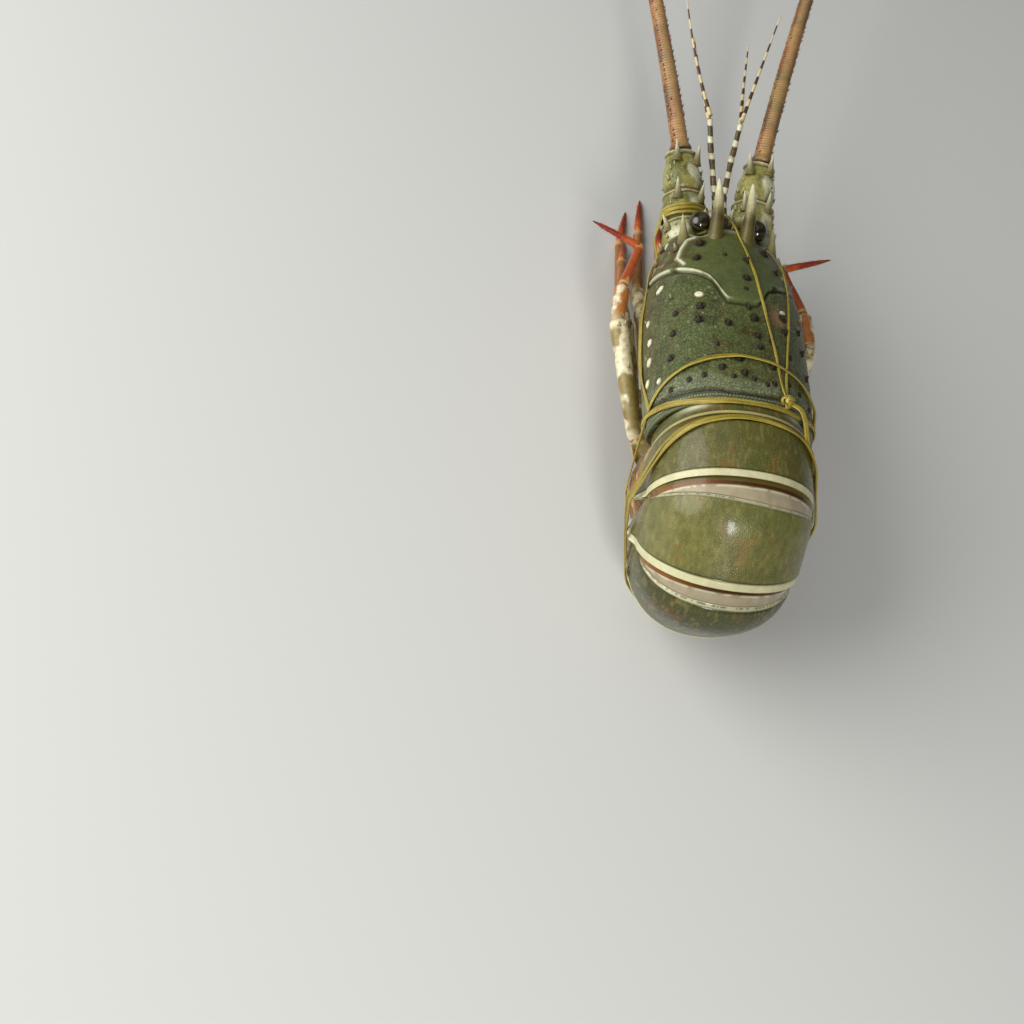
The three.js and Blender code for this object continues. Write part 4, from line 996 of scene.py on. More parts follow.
# Head
def horns():
    for side, mark in SIDES:
        f = np.linspace(0, 1, 70)[:, None]
        base, tip = mirrored([(6.8, -94.5, 14.5), (7.6, -119, 27.5)], side)
        path = base + (tip - base) * f + UP * (tip[2] - base[2]) * 0.16 * np.sin(math.pi * f)
        path = np.concatenate([path[:1] + (path[:1] - path[3]) * 1.2, path])
        f = np.concatenate([[[0]], f])
        r = smooth([(0, 3.7), (0.2, 3.0), (0.45, 2.4), (0.7, 1.75), (0.88, 1.0), (0.97, 0.5),
                    (1, 0.14)], f)
        p, _, out = swept(path, r, r * 1.2, 32)
        blot = fractal(p, 3, 150)
        paint = painted(
            p, (86, 78, 34), (OLIVE_WARM, step_up(blot, 0.4, 0.7)),
            (BROWN, 0.6 * ridge(f, 0.3, 0.08)),
            (BONE, 0.7 * step_up(f + 0.2 * (blot - 0.5), 0.3, 0.6)),
            (CREAM, 0.8 * step_up(f + 0.15 * (blot - 0.5), 0.55, 0.85)),
            ((112, 72, 34), 0.85 * step_up(f, 0.93, 1)))
        piece = Piece()
        piece.grid(raised(p, out, 0.18 * domes(p, 1.3, 151, 0.5) * (1 - f) ** 2), paint,
                   (0.34, 0.3, 0.3))
        piece.make(f"frontal_horn_{mark}_horn", "horn", HORN, [f"frontal_horn_{mark}"])


def cornea(p, height):
    return painted(p, (26, 20, 12), ((94, 82, 36), 0.4 * step_up(wave(p[..., 2] * 3.2), 0.6, 0.9)),
                   ((140, 126, 66), 0.8 * (1 - step_up(height, -0.75, -0.45))))


def eyes():
    for side, mark in SIDES:
        piece = Piece()
        p, angle, _, _ = tube([(7.8, -97.5, 7.6, 2.6), (9.4, -100.2, 9.6, 2.7),
                               (11, -102.6, 11.4, 3.4), (12, -104, 12.6, 3.8)], 30, 32, side)
        bars = wave(np.linspace(0, 15, 30)[:, None] + np.sin(angle) * 0.8)
        piece.grid(p, painted(p, (150, 140, 70), (DARK, step_up(bars, 0.45, 0.65))),
                   (0.3, 0.2, 0.5))
        ball(piece, (12.6 * side, -104.8, 13.2), (4.9, 5.3, 4.9), cornea, (0.14, 0, 0.2),
             axis=(0.55 * side, -0.45, 0.7))
        piece.make(f"eye_{mark}_ball", "eye", EYE, [f"eye_{mark}"])


def front_plate():
    piece = Piece()
    p, _, out, _ = tube([(0, -99.4, 5.8, 6.6, 4.2), (0, -103, 6.4, 6.0, 4.1),
                         (0, -107, 6.6, 5.2, 3.8), (0, -114, 6, 4.2, 3),
                         (0, -116.4, 4.9, 3.4, 2.2), (0, -117.4, 4.3, 2, 1.2)], 60, 56,
                        exponent=0.92)
    dome = domes(p, 1.5, 160, 0.5)
    p = raised(p, out, 0.2 * dome)
    piece.grid(p, painted(p, (110, 104, 56), (OLIVE_DEEP, blots(p, 3.5, 161, 0.4, 0.65)),
                          (PALE_GRAIN, 0.6 * step_up(dome, 0.5, 0.9))), (0.36, 0.6, 0.7))
    for side, _ in SIDES:
        for foot, tip, r in (((2.6, -109.5, 9.1), (3.1, -117, 12.6), 1.5),
                             ((2.6, -104, 10), (3, -108.6, 12.4), 1.1),
                             ((4.7, -112, 7), (5.6, -116.2, 8.6), 0.8)):
            cone(piece, mirrored(foot, side), mirrored(tip, side), r, BROWN, CREAM,
                 (0.32, 0, 0.2), sides=14, rows=12, bow=0.2)
    piece.make("antennular_plate_shell", "shell", SHELL, ["antennular_plate"])


ANTENNULE = [
    (1.9, -117.2, 2.6, 1.3), (1.95, -120, 3.2, 1.55), (2, -129, 4.5, 1.35),
    (2, -131.2, 4.9, 1.55), (2.1, -132.5, 5.1, 1.05), (2.4, -134, 5.5, 1.45),
    (4, -145, 9.5, 1.25), (4.6, -149, 11, 1.5), (4.8, -150.2, 11.4, 1.0),
    (5.1, -151.6, 12, 1.4), (6.6, -161, 17.2, 1.15), (7.2, -164, 19, 1.35),
]


def antennules():
    for side, mark in SIDES:
        piece = Piece()
        p, angle, _, _ = tube(ANTENNULE, 190, 24, side)
        band = wave(np.linspace(0, 40, len(p))[:, None] + np.sin(angle) * 0.5)
        piece.grid(p, painted(p, (70, 60, 30), (CREAM, 0.9 * step_up(band, 0.6, 0.75)),
                              (RUST, 0.35 * blots(p, 2, 170, 0.5, 0.8))), (0.35, 0.2, 0.4))
        piece.make(f"antennule_{mark}_stem", "leg", LEG, [f"antennule_{mark}"])
        g = np.linspace(0, 1, 330)
        r = (1 - 0.72 * g) * (0.92 + 0.1 * (0.5 + 0.5 * np.cos(g * 2 * math.pi * 66)))
        band = step_up(wave(g * 2 * math.pi * 6.5), 0.4, 0.6)[:, None]
        for name, wide, base, rise, bow in (("outer", 15, 20.6, 8, 12), ("inner", 6, 18.4, -1, 4)):
            path = vec(side * (7.35 + wide * g), -164.9 - 52 * g, base + rise * g + bow * g * g)
            p = swept(path, r, r, 14)[0]
            whip = Piece()
            whip.grid(p, painted(p, (74, 50, 26), ((216, 196, 148), band)), (0.4, 0, 0.2))
            whip.make(f"antennule_{name}_{mark}_whip", "whip", WHIP,
                      [f"antennule_flagellum_{name}_{mark}"])


STEM_AXIS = np.array([[13.8, -99.5, -3.4], [14.8, -115.5, -0.6], [16.2, -130, 3],
                      [18.6, -150.5, 9.4]])
STEM_RADII = [(9.8, 10.6, 9.6), (9.9, 10, 8.9), (8.8, 8.4, 6.6)]
STEM_FLAT = [0.98, 0.9, 0.88]
STEM_THORNS = [
    [((9.4, -109, 6.4), (8.8, -116.5, 10.8)), ((23.2, -109, 2), (26.2, -116, 3.6))],
    [((10.4, -123, 8.2), (9.4, -130, 12.6)), ((20.6, -123.5, 8.8), (21.4, -131, 13))],
    [((12.6, -142, 12.6), (11.6, -150, 16.8)), ((21.4, -142.5, 13), (22.4, -150.4, 17))],
]
THORN = (104, 92, 44)


def antenna_stems():
    rng = np.random.default_rng(5)
    f = np.linspace(0, 1, 96)[:, None]
    spiny = (0.32, 0.2, 0.2)
    for k, (foot_r, mid_r, end_r) in enumerate(STEM_RADII):
        start, end = STEM_AXIS[k:k + 2]
        way = unit(end - start)
        r = smooth([(0, foot_r * 0.7), (0.05, foot_r * 0.86), (0.16, foot_r * 0.99), (0.5, mid_r),
                    (0.8, end_r * 1.03), (0.92, end_r * 1.05), (0.97, end_r), (1, end_r * 0.84)], f)
        for side, mark in SIDES:
            ahead = mirrored(way, side)
            path = mirrored(start + way * 0.3 + (end - start - way * 1.2) * f, side)
            p, angle, out = swept(path, r, r * STEM_FLAT[k], 120)
            dome = domes(p, 1.9, 180 + k, 0.42, 0.3)
            collar, furrow = ridge(f, 0.95, 0.02), ridge(f, 0.885, 0.02)
            p = raised(p, out, 0.22 * dome + 0.5 * collar - 0.4 * furrow
                       + 0.5 * (fractal(p, 9, 183) - 0.5))
            blot = fractal(p, 5.5, 185 + k)
            turn = 0.9 if k else 2.3 if side > 0 else 0.84
            patch = step_up(np.cos(angle - turn) + 0.5 * (blot - 0.5), 0.8, 0.93)
            paint = painted(
                p, (146, 140, 74), ((104, 104, 50), step_up(blot, 0.38, 0.62)),
                (BROWN, 0.5 * blots(p, 2, 188, 0.55, 0.8)),
                (CREAM, 0.85 * patch * ridge(f, 0.45, 0.3)),
                (PALE_GRAIN, 0.7 * step_up(dome, 0.35, 0.8)), (CREAM, 0.6 * collar),
                ((60, 46, 20), 0.7 * furrow), ((150, 96, 44), 0.7 * (1 - step_up(f, 0, 0.06))))
            piece = Piece()
            piece.grid(p, paint, (0.36, 0.6, 0.6))
            for foot, tip in STEM_THORNS[k]:
                cone(piece, mirrored(foot, side), mirrored(tip, side), 1.9, THORN, CREAM, spiny,
                     sides=18, rows=16, bow=0.25, sink=1.2)
            for m in range(14):
                if m < 10:
                    turn = (0.6, 2.5)[m % 2] + rng.uniform(-0.35, 0.35)
                else:
                    turn = rng.uniform(3.6, 5.8)
                i = int(rng.uniform(0.15, 0.82) * 95)
                j = int((turn / (2 * math.pi)) * 120) % 120
                size = rng.uniform(0.5, 0.9)
                lean = out[i, j] * 0.8 + ahead * 1.1
                cone(piece, p[i, j], p[i, j] + lean * size * 1.7, size, THORN, CREAM, spiny,
                     sides=9, rows=7)
            if k < 2:
                # The soft skin of the joint ahead
                g = np.linspace(0, 1, 14)[:, None]
                joint = mirrored(end - way * 1.6 + way * 3.2 * g, side)
                q = swept(joint, end_r * 0.8, end_r * 0.8 * 0.9, 60)[0]
                piece.grid(q, painted(q, (172, 118, 58), ((110, 70, 34), 0.6 * wave(g * 20))),
                           (0.45, 0, 0.3))
            piece.make(f"antenna_stem_{k + 1}_{mark}_shell", "leg", LEG,
                       [f"antenna_stem_{k + 1}_{mark}"])


def antenna_whips():
    x, y, z = STEM_AXIS[3]
    f = np.linspace(0, 1, 1150) ** 1.02
    rng = np.random.default_rng(8)
    turns = np.cumsum(1 / (1.5 * (1 - 0.45 * f))) * (345 / 1150)
    ring = 0.5 + 0.5 * np.cos(turns * 2 * math.pi)
    r = (3.4 * (1 - f) ** 0.8 + 0.5 + 1.1 * ridge(f, 0, 0.006)) * (0.965 + 0.05 * ring ** 0.6)
    band = step_up(wave(f * 2 * math.pi * 11), 0.55, 0.8)[:, None]
    for side, mark in SIDES:
        path = vec(side * (x + 0.2 + 62 * f + 26 * f * f),
                   y - 0.5 - 330 * f * (0.96 - 0.05 * f), z + 1 + 96 * f - 12 * f * f)
        p, angle, out = swept(path, r, r, 20)
        whip = Piece()
        whip.grid(p, painted(
            p, (140, 78, 34), ((96, 76, 36), blots(p, 12, 200, 0.4, 0.65)),
            ((190, 140, 76), 0.45 * band),
            ((52, 34, 18), 0.6 * (1 - step_up(ring, 0.05, 0.3))[:, None]),
            # A paler band along the whip's upper side is painted light from above.
            ((190, 160, 110), 0.5 * step_up(np.sin(angle), 0.6, 1))), (0.36, 0, 0.4))
        for i in range(14, 1120, 9):
            for turn in (0.35, 2.8):
                if rng.random() < 0.8 and f[i] < 0.93:
                    j = int((turn + rng.uniform(-0.4, 0.4)) / (2 * math.pi) * 20) % 20
                    size = 0.32 + 0.5 * (1 - f[i])
                    lean = out[i, j] * 0.7 + unit(path[i + 5] - path[i])
                    cone(whip, p[i, j], p[i, j] + lean * size * 1.6, size * 0.5, (120, 70, 30),
                         (206, 170, 110), (0.36, 0, 0), sides=6, rows=4, sink=0.2)
        whip.make(f"antenna_whip_{mark}", "whip", WHIP, [f"antenna_flagellum_{mark}"])


# Legs
def on_floor(x, y, r):
    """The middle of a limb of radius r that is pressed half a millimetre into the floor."""
    return x, y, (r - 0.5 - STAND_HEIGHT - y * math.sin(LEAN)) / math.cos(LEAN)


# Coxa, hip, knee, wrist, hand and claw of the left legs, front to back, and the thigh's radius
LEGS = [
    ((7.5, -67, -36.5), (14, -73, -42), (12.5, -106, -50), on_floor(12, -121, 2.6),
     on_floor(12, -147, 2.1), on_floor(11.4, -160, 0.6), 3.9),
    ((10, -54, -36.5), (22.5, -60, -41.5), (22.3, -103, -45.6), on_floor(22.3, -121, 2.6),
     on_floor(22.4, -155, 2.2), on_floor(21.6, -174, 0.6), 4),
    ((13, -40, -36.5), (30, -45, -38), (32.4, -89, -40), (32.4, -107, -47.6),
     on_floor(31.4, -147, 2.1), on_floor(28.6, -166, 0.6), 3.9),
    ((16, -26, -35.6), (31, -31, -34), (36.5, -72, -29.5), (35.6, -90, -32.5), (33, -127, -40),
     (30.4, -144, -45), 3.8),
    ((18.8, -12, -34.6), (31, -17, -32.4), (43, -66, -12.5), (41, -83, -10.5),
     (32.6, -108, -10.5), (55, -115, -6.5), 3.7),
]
# Radii along each joint of a leg, as shares
COXA = [(0, 0.9), (0.3, 1.18), (0.7, 1.26), (0.93, 1.15), (1, 0.9)]
HIP = [(0, 0.7), (0.25, 0.98), (0.7, 0.9), (0.92, 0.96), (1, 0.7)]
THIGH = [(0, 0.6), (0.05, 0.8), (0.25, 0.92), (0.75, 1.0), (0.93, 1.06), (0.975, 1.02), (1, 0.78)]
SHANK = [(0, 0.55), (0.08, 0.76), (0.5, 0.92), (0.85, 0.94), (0.95, 0.84), (1, 0.6)]
PALM = [(0, 0.7), (0.06, 1.02), (0.4, 0.98), (0.85, 0.92), (0.96, 0.98), (1, 0.7)]
TOE = [(0, 0.55), (0.08, 0.8), (0.3, 0.7), (0.7, 0.48), (0.9, 0.27), (1, 0.07)]


def article(piece, a, b, radius, profile, flat, look, seed, rows, sides):
    """One joint of a limb between two points, with its points and the way out at each."""
    f = np.linspace(0, 1, rows)[:, None]
    r = radius * smooth(profile, f)
    p, _, out = swept(a + (b - a) * f, r, r * flat, sides)
    p = raised(p, out, 0.25 * (fractal(p, 5, seed) - 0.5) + 0.05 * (fractal(p, 1.2, seed + 1) - 0.5))
    piece.grid(p, look(p, f), (0.34, 0.2, 0.5))
    return p, out


def blotched(dark, pale, share, seed, ends=None):
    """A look for a limb: pale blotches on dark, and a colour of its own at both ends."""
    def look(p, f):
        paint = painted(
            p, dark, (pale, blots(p * [1, 0.7, 1], 6.5, seed, 0.62 - share, 0.72 - share)),
            ((120, 84, 44), 0.45 * blots(p, 1.6, seed + 3, 0.5, 0.75)))
        if ends:
            at_end = np.maximum(1 - step_up(f, 0.02, 0.1), step_up(f, 0.9, 0.97))
            paint = layered(paint, (ends, 0.85 * at_end))
        return paint
    return look


def red_toe(p, f):
    blot = fractal(p, 3, 221)
    return painted(p, (190, 84, 30), ((138, 36, 16), step_up(f + 0.5 * (blot - 0.5), 0.15, 0.5)),
                   ((60, 30, 14), step_up(f, 0.86, 0.98)))


def bristled(bristles, rng, count, p, out, rows, lean, reach, radius, colour, tile, above=-2):
    """Bristles at random places of a limb; tile is its share of the unwrap."""
    n, m = p.shape[:2]
    stand, ahead = lean
    for _ in range(count):
        i, j = int(rng.integers(*rows)), int(rng.integers(0, m))
        foot, way = p[i, j], out[i, j]
        if way[2] > above:
            tip = foot + (way * stand + ahead) * rng.uniform(*reach)
            hair(bristles, foot - way * 0.1, tip, radius, tone(colour) * rng.uniform(0.7, 1.2),
                 ((tile[0] + (j + 0.5) / m) / tile[1], i / n))


def legs():
    bristles = Piece()
    rng = np.random.default_rng(31)
    for number, (*points, thick) in enumerate(LEGS, 1):
        slim = thick * 0.6
        olive = (140, 124, 68)
        if number == 5:
            warm, red, cream, share = (176, 110, 50), (166, 74, 32), (226, 216, 180), 0.2
        else:
            warm, red, cream, share = olive, (150, 96, 48), (214, 200, 158), 0.12
        for side, mark in SIDES:
            joints = mirrored(points, side)
            coxa, hip, knee, wrist, hand, claw = joints
            to_hip, thigh, shank, palm, toe = unit(np.diff(joints, axis=0))
            seed = 230 + number * 10 + (side < 0) * 5
            upper, lower = Piece(), Piece()
            made = [article(piece, a, b, radius, profile, flat,
                            blotched(dark, pale, pale_share, seed + i, ends), seed + i, rows, sides)
                    for i, (piece, a, b, radius, profile, flat, dark, pale, pale_share, ends, rows,
                            sides) in enumerate((
                                (upper, coxa - to_hip * 3, coxa + to_hip * 5, thick, COXA, 1,
                                 olive, cream, 0.12, (190, 168, 120), 36, 36),
                                (upper, coxa + to_hip * 3.6, hip + thigh * 1.2, thick, HIP, 0.95,
                                 olive, cream, 0.16, (184, 146, 92), 40, 36),
                                (upper, hip + thigh * 0.4, knee - thigh * 0.9, thick, THIGH, 1,
                                 olive, cream, share, cream, 110, 44),
                                (lower, knee + shank * 0.3, wrist - shank * 0.5, thick, SHANK, 0.95,
                                 warm, cream, 0.1, cream, 60, 40),
                                (lower, wrist + palm * 0.4, hand - palm * 0.4, slim, PALM, 0.95,
                                 red, (206, 160, 100), 0, (206, 168, 112), 90, 36)))]
            p, out = made[2]
            for at, turn in ((0.95, 1.2), (0.95, 1.9), (0.6, 1.57)):
                i, j = int(at * 109), int(turn / (2 * math.pi) * 44)
                cone(upper, p[i, j], p[i, j] + out[i, j] + thigh * 1.9, 0.8, olive, CREAM,
                     (0.34, 0, 0), rows=8)
            upper.make(f"leg_{number}_upper_{mark}_shell", "leg", LEG,
                       [f"leg_{number}_upper_{mark}"])
            for centre, wide, long, colour, pale_share, rows, sides, axis in (
                    (knee, thick * 0.72, thick * 0.9, (168, 112, 60), 1, 20, 28, thigh),
                    (wrist, slim * 0.95, slim * 1.1, (190, 120, 60), 0, 16, 24, shank),
                    (hand, slim * 0.72, slim * 0.85, (196, 128, 66), 0, 14, 20, palm)):
                ball(lower, centre, (wide, wide, long),
                     lambda p, _: painted(p, colour, (BONE, pale_share * fractal(p, 2, 7))),
                     (0.42, 0, 0.3), rows, sides, axis)
            p, out = article(lower, hand + toe * 0.2, claw + toe * 0.2, slim, TOE, 0.95, red_toe,
                             seed + 5, 60, 28)
            lower.make(f"leg_{number}_lower_{mark}_shell", "leg", LEG,
                       [f"leg_{number}_lower_{mark}"])
            bristled(bristles, rng, 230, p, out, (4, 50), (0.8, toe * 0.9), (0.5, 1.15), 0.07,
                     (150, 104, 54), (number * 2 - 2 + (side < 0), 10))
    bristles.make("leg_bristles", "leg", SETAE, coat=True)


def underside():
    # The breastplate, wider towards the tail, with a furrow and knobs for each pair of legs
    piece = Piece()
    p, angle, _, rows = tube([(0, -77, -30, 4, 1.4), (0, -74, -30.8, 5.5, 2), (0, -60, -31.2, 8, 2.1),
                              (0, -36, -31.4, 11, 2.1), (0, -12, -31, 13.4, 2.1),
                              (0, -5.5, -30.4, 12.4, 2), (0, -3.6, -29.8, 10, 1.2)], 160, 90,
                             exponent=0.6)
    y, roots = p[..., 1, None], np.array([-67, -54, -40, -26, -12])
    furrow = ridge(y, roots + 6.5, 0.9).max(-1)
    knob = ridge(y, roots, 2.4).max(-1) * ridge(np.abs(p[..., 0]), rows[:, 3:4] * 0.72, 2)
    p[..., 2] -= 0.7 * (knob - furrow) * step_up(-np.sin(angle), 0, 0.5)
    piece.grid(p, painted(p, BONE, ((196, 150, 104), blots(p, 4, 300, 0.45, 0.7)),
                          ((108, 74, 44), 0.8 * furrow), (CREAM, 0.6 * knob)), (0.4, 0, 0.5))
    piece.make("sternum_plate", "belly", BELLY, ["sternum"])

    mouth = Piece()
    p, angle, _, _ = tube([(0, -79, -31, 8.6, 2.2), (0, -83, -31.2, 10, 3.4),
                           (0, -86, -31, 10.5, 4), (0, -93, -29.5, 9.5, 4.4),
                           (0, -96, -27.4, 7, 3.6), (0, -97.4, -26, 4, 2)], 80, 80)
    seam = ridge(p[..., 0], 0, 0.7)
    lobes = ridge(np.abs(p[..., 0]), 4.2, 2.6)
    p[..., 2] -= (0.9 * lobes - 1.2 * seam) * step_up(-np.sin(angle), -0.1, 0.5)
    mouth.grid(p, painted(p, (196, 172, 126), ((150, 104, 60), blots(p, 3, 310, 0.4, 0.7)),
                          ((70, 44, 24), 0.85 * seam)), (0.36, 0, 0.5))
    for side, _ in SIDES:
        ball(mouth, (3.4 * side, -90, -33.4), (2.4, 3.6, 1.9),
             lambda p, _: painted(p, BONE, ((110, 70, 36), fractal(p, 2, 5))), (0.3, 0, 0.3), 24, 30)
    mouth.make("mouth_plates", "belly", BELLY, ["mouthparts"])

    # The jaw feet, bristly from their third joint on
    bristles = Piece()
    rng = np.random.default_rng(77)
    radii = (3, 3.2, 3, 2.6, 2.3, 1.5, 0.4)
    for side, mark in SIDES:
        jaw = Piece()
        points = mirrored([(7.4, -69.6, -36), (8.2, -80, -39.5), (8.4, -92, -40), (8, -101, -38.5),
                           (7.6, -110, -34.5), (6.4, -117, -28.6), (5.6, -120, -25.6)], side)
        for i, (a, b, r, ahead) in enumerate(zip(points, points[1:], radii, radii[1:])):
            profile = [(0, r * 0.7), (0.12, r), (0.85, ahead * 1.05), (1, ahead * 0.7)]
            p, out = article(jaw, a, b, 1, profile, 0.8,
                             blotched((156, 124, 74), BONE, 0.1, 320 + i), 320 + i, 34, 28)
            if i >= 2:
                bristled(bristles, rng, 130, p, out, (2, 32), (1, unit(b - a) * 0.7), (0.8, 1.7),
                         0.08, (176, 130, 76), (i * 2 - 4 + (side < 0), 8), above=-0.3)
        jaw.make(f"maxilliped_{mark}_limb", "leg", LEG, [f"maxilliped_{mark}"])
    bristles.make("mouth_bristles", "leg", SETAE, coat=True)


# Twine
def hull(points):
    """The outline of points in a plane."""
    def half(rows):
        kept = []
        for p in rows:
            while len(kept) > 1:
                a, b = kept[-2:]
                if (b[0] - a[0]) * (p[1] - a[1]) - (b[1] - a[1]) * (p[0] - a[0]) > 0:
                    break
                kept.pop()
            kept.append(p)
        return kept[:-1]

    points = points[np.lexsort((points[:, 1], points[:, 0]))]
    return np.array(half(points) + half(points[::-1]))


def even(path, gap):
    """The same closed line with evenly spaced points."""
    closed = np.concatenate([path, path[:1]])
    u = np.concatenate([[0], np.cumsum(np.linalg.norm(np.diff(closed, axis=0), axis=1))])
    f = np.linspace(0, u[-1], max(8, int(u[-1] / gap)), endpoint=False)
    return np.stack([np.interp(f, u, column) for column in closed.T], -1)


def taut(cloud, point, normal, lift, slab=1.2):
    """A cord pulled tight round points in a plane, and the way out at each of its points."""
    normal = unit(normal)
    v = unit(np.cross(normal, (1, 0, 0)))
    u = np.cross(v, normal)
    near = cloud[np.abs((cloud - point) @ normal) < slab] - point
    ring = hull(np.stack([near @ u, near @ v], -1))
    path = even(point + ring[:, :1] * u + ring[:, 1:] * v, CORD_GAP)
    middle = path.mean(0)
    for _ in range(3):
        path = (path + np.roll(path, 1, 0) + np.roll(path, -1, 0)) / 3
    out = np.cross(unit(np.roll(path, -1, 0) - np.roll(path, 1, 0)), normal)
    out *= np.sign(((path - middle) * out).sum(-1))[:, None]
    return path + out * lift, out


def strap(piece, path, out, wide, thick, seed, loop=False):
    """A flat strip of raffia: fibres along it, uneven edges, and now and then a slight roll."""
    n = len(path)
    u = np.linspace(0, 1, n, endpoint=not loop)
    line = vec(np.arange(1, n + 1) * CORD_GAP, seed * 3.1, 0)
    fade = np.minimum(1, np.minimum(u, 1 - u) * 12) if loop else np.ones(n)
    roll, broad, deep = ((noise(line, size, seed + i) - 0.5) * fade
                         for i, size in enumerate((14, 9, 6)))
    _, ups, side = frames_along(path, out, loop)
    ups = ups * np.cos(roll * 0.9)[:, None] + side * np.sin(roll * 0.9)[:, None]
    p, angle, away = swept(path, wide / 2 * (1 + 0.35 * broad), thick / 2 * (1 + 0.3 * deep), 26,
                           ups, loop, 0.75)
    fibre = noise(vec(np.cos(angle) * wide * 2.4, line[:, :1] * 0.06, np.sin(angle) * 3), 0.55,
                  seed + 3)
    p = raised(p, away, 0.16 * (fibre - 0.5) * fade[:, None])
    paint = painted(p, RAFFIA, (RAFFIA_PALE, step_up(fibre, 0.5, 0.8)),
                    (RAFFIA_DEEP, 0.8 * step_up(1 - fibre, 0.55, 0.8)),
                    (RAFFIA_DEEP, 0.4 * step_up(noise(line, 22, seed + 5), 0.5, 0.8)[:, None]))
    piece.grid(p, paint, (0.42, 0, 0.6), loop)


def stem_cloud():
    """The outside of the left antenna's first two joints, as points."""
    f = np.linspace(0, 1, 80)[:, None]
    made = []
    for k, (foot_r, mid_r, end_r) in enumerate(STEM_RADII[:2]):
        r = smooth([(0, foot_r * 0.9), (0.16, foot_r), (0.5, mid_r), (0.9, end_r * 1.05),
                    (1, end_r)], f)
        path = STEM_AXIS[k] + (STEM_AXIS[k + 1] - STEM_AXIS[k]) * f
        made.append(swept(path, r, r * STEM_FLAT[k], 60)[0].reshape(-1, 3))
    return np.concatenate(made)


CORD_GAP = 0.7
# Loops round the body: Y and Z at the top and below, shift, tilt, lift, width, thickness and seed
LOOPS = [
    ((-21, 25), (33, -70), 0, 0, 0.5, 2.1, 0.8, 400),
    ((0.8, 25), (-22, -62), -0.55, 0, 0.5, 1.5, 0.7, 410),
    ((0.8, 25), (-22, -62), 0.55, 0, 0.75, 1.5, 0.7, 411),
    ((9, 25), (42, -60), -0.9, 0.022, 0.5, 2.1, 0.85, 420),
    ((9, 25), (42, -60), 0.9, -0.022, 0.8, 2.1, 0.85, 421),
]
SIDE_OUT = (1, 0, 0.2)


def at(point, out=UP):
    """A station of a strand: its place and the way out there."""
    return np.concatenate([point, out])


def on_shell(t, angle, lift=0.75):
    out = carapace_normal(t, angle)
    return at(carapace_point(t, angle) + out * lift, out)


def nearest(path, point):
    return path[np.argmin(np.linalg.norm(path - point, axis=-1))]


def twine(clouds):
    piece = Piece()
    body = np.concatenate([c.reshape(-1, 3) for c in clouds])
    loops = []
    for top, low, shift, tilt, lift, wide, thick, seed in LOOPS:
        down = np.subtract(low, top)
        along, normal = unit([0, *down]), unit([0, -down[1], down[0]])
        path, out = taut(body, np.array([0, *top]) + normal * shift, normal + along * tilt, lift)
        strap(piece, path, out, wide, thick, seed, loop=True)
        loops.append(path)

    axis = unit(STEM_AXIS[2] - STEM_AXIS[1])
    stem = stem_cloud()
    wraps = []
    for m, (f, tilt) in enumerate(((2.2, 0.04), (3.4, -0.05), (4.5, 0.06), (5.5, -0.02))):
        path, out = taut(stem, STEM_AXIS[1] + axis * f, axis + UP * tilt, 0.55, slab=0.8)
        strap(piece, path, out, 1.6, 0.75, 440 + m, loop=True)
        wraps.append(path)

    tie = on_shell(0.972, -0.43, 2.2)
    knot, knot_out = tie[:3], tie[3:]
    first = wraps[1][np.argmax(wraps[1] @ (-0.6, 0, 0.8))]
    outer = wraps[2][np.argmax(wraps[2] @ (0.9, 0, -0.4))]
    strands = (
        ([at(first), at((3.2, -111, 14.8)), at((0.2, -104.5, 17.6)),
          *(on_shell(*back_place(x, y)) for x, y in (
              (-2.4, -98.5), (-5, -82.5), (-7, -63), (-9.4, -44.5), (-12, -26.4), (-14, -11))),
          tie], 1.2, 0.75),
        ([*(on_shell(*back_place(x, y)) for x, y in (
            (-22.2, -93), (-22.6, -86), (-22.2, -70), (-19.4, -43.1), (-17.3, -26.2),
            (-15.8, -11))), tie], 1.1, 0.7),
        ([at(outer, SIDE_OUT), at((27.6, -107, -5), SIDE_OUT),
          *(on_shell(t, angle) for t, angle in (
              (0.05, 1.6), (0.3, 1.56), (0.5, 1.57), (0.64, 1.59), (0.76, 1.61))),
          at(nearest(loops[0], carapace_point(0.86, 1.64)), SIDE_OUT)], 3.0, 0.7),
        ([tie, at((-20, 1, 25.6)), at(nearest(loops[3], (-27, 10.5, 18.5)))], 2.0, 0.9),
        ([tie, at(nearest(loops[1], knot))], 1.6, 0.9))
    for m, (stations, wide, thick) in enumerate(strands):
        long = np.linalg.norm(np.diff(np.array(stations)[:, :3], axis=0), axis=1).sum()
        rows = through(stations, max(16, int(long / CORD_GAP)))
        strap(piece, rows[:, :3], unit(rows[:, 3:]), wide, thick, 460 + m * 7)

    # The knot: two turns laid over each other and a tucked loop
    across = unit(np.cross(knot_out, (0, 1, 0)))
    ahead = np.cross(across, knot_out)
    a = np.linspace(0, 2 * math.pi, 54, endpoint=False)[:, None]
    for m, (turn, wide, high, lift) in enumerate(((0.3, 2.6, 1.5, 0.4), (1.5, 2.4, 1.6, 0.9),
                                                  (2.5, 2.0, 1.3, 1.5))):
        middle = knot + knot_out * (lift - 0.5)
        long = across * math.cos(turn) + ahead * math.sin(turn)
        path = (middle + long * np.cos(a) * wide + knot_out * np.sin(a) * high
                + np.cross(long, knot_out) * 0.5 * np.sin(2 * a))
        strap(piece, path, unit(path - middle), 1.7, 0.9, 500 + m, loop=True)
    piece.make("twine_ties", "twine", TWINE, ["twine"])


# Studio
def turned(made, where, back, side, up):
    """Places an object that looks against back, with its own sides along side and up."""
    turn = Matrix([[side[i], up[i], back[i]] for i in range(3)]).to_4x4()
    turn.translation = where
    made.matrix_world = turn


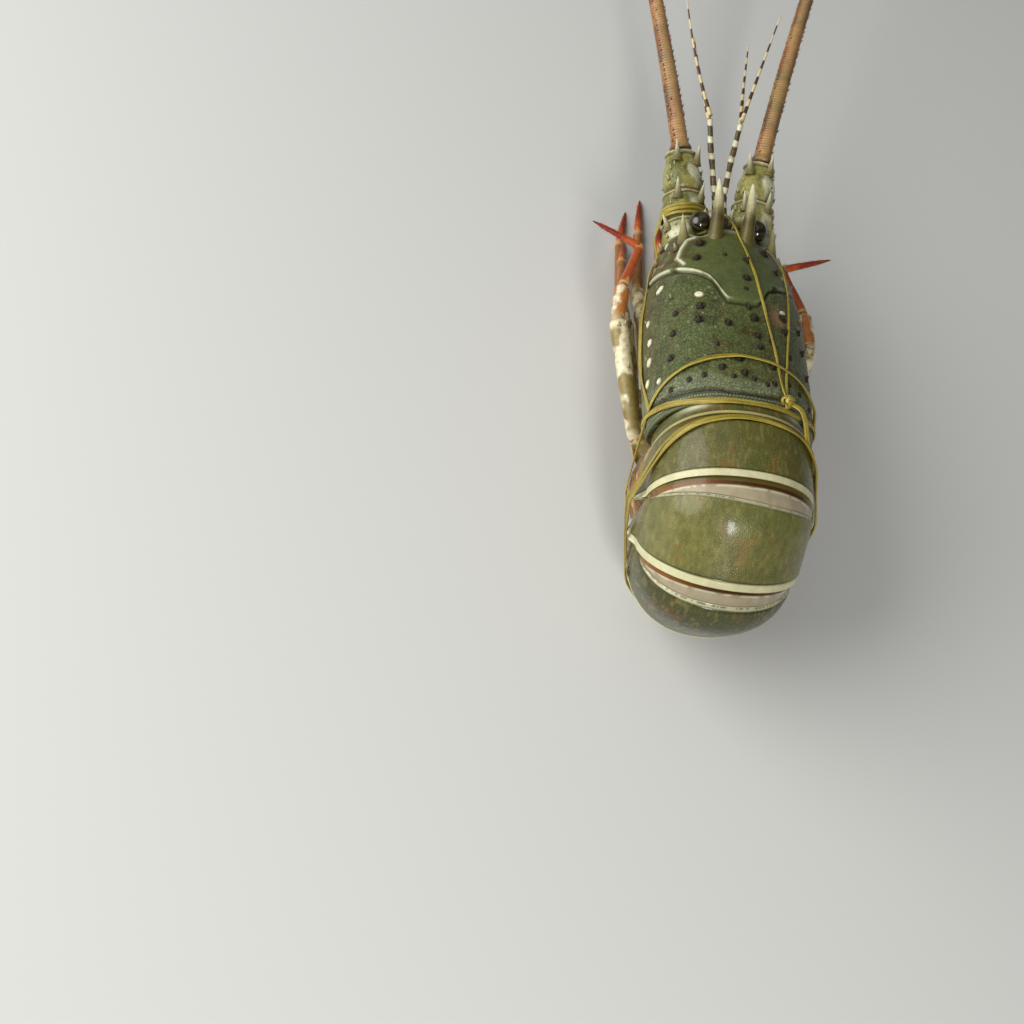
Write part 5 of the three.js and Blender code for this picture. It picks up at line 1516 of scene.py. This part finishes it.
def lamp(name, where, target, watts, wide, tall, colour=(1, 1, 1)):
    data = bpy.data.lights.new(name, "AREA")
    data.shape = "ELLIPSE"
    data.size, data.size_y = wide, tall
    data.energy = watts
    data.color = colour
    back = unit(np.subtract(where, target))
    side = unit(np.cross(UP, back))
    turned(in_scene(name, data), where, back, side, np.cross(back, side))


def studio():
    size = 4
    mesh = bpy.data.meshes.new("floor")
    mesh.from_pydata([(-size, -size, 0), (size, -size, 0), (size, size, 0), (-size, size, 0)], [],
                     [(0, 1, 2, 3)])
    floor = in_scene("floor", mesh)
    pale = bpy.data.materials.new("floor")
    pale.use_nodes = True
    shader = pale.node_tree.nodes["Principled BSDF"]
    shader.inputs["Roughness"].default_value = 0.7
    shader.inputs["Base Color"].default_value = (0.64, 0.64, 0.62, 1)
    mesh.materials.append(pale)

    lamp("key", (-0.02, 0.95, 0.78), (0, 0, 0.07), 7, 0.2, 0.46, (1, 0.98, 0.94))
    lamp("left", (1.0, -0.1, 0.62), (0, -0.04, 0.06), 15.5, 1.35, 1.2, (1, 1, 0.97))
    lamp("over", (0.5, -0.3, 1.3), (0, -0.05, 0.05), 3.1, 1.6, 1.6)
    world = bpy.data.worlds.new("studio")
    world.use_nodes = True
    background = world.node_tree.nodes["Background"]
    background.inputs["Color"].default_value = (0.9, 0.95, 1, 1)
    background.inputs["Strength"].default_value = 0.1
    bpy.context.scene.world = world
    bpy.context.scene.view_settings.view_transform = "Standard"

    data = bpy.data.cameras.new("camera")
    data.sensor_width = SENSOR
    data.lens = LENS
    data.clip_start, data.clip_end = 0.05, 20
    camera = in_scene("camera", data)
    ahead, up = unit(place((CAMERA_FORWARD, CAMERA_UP)) - place((0, 0, 0)))
    right = unit(np.cross(ahead, up))
    turned(camera, place(CAMERA_POINT), -ahead, right, np.cross(right, ahead))
    bpy.context.scene.camera = camera


studio()
clouds = [carapace()]
spines()
clouds += [somite(k) for k in range(len(SEGMENTS))]
clouds += flank_skin()
blades()
horns()
eyes()
front_plate()
antennules()
antenna_stems()
antenna_whips()
legs()
underside()
twine(clouds)
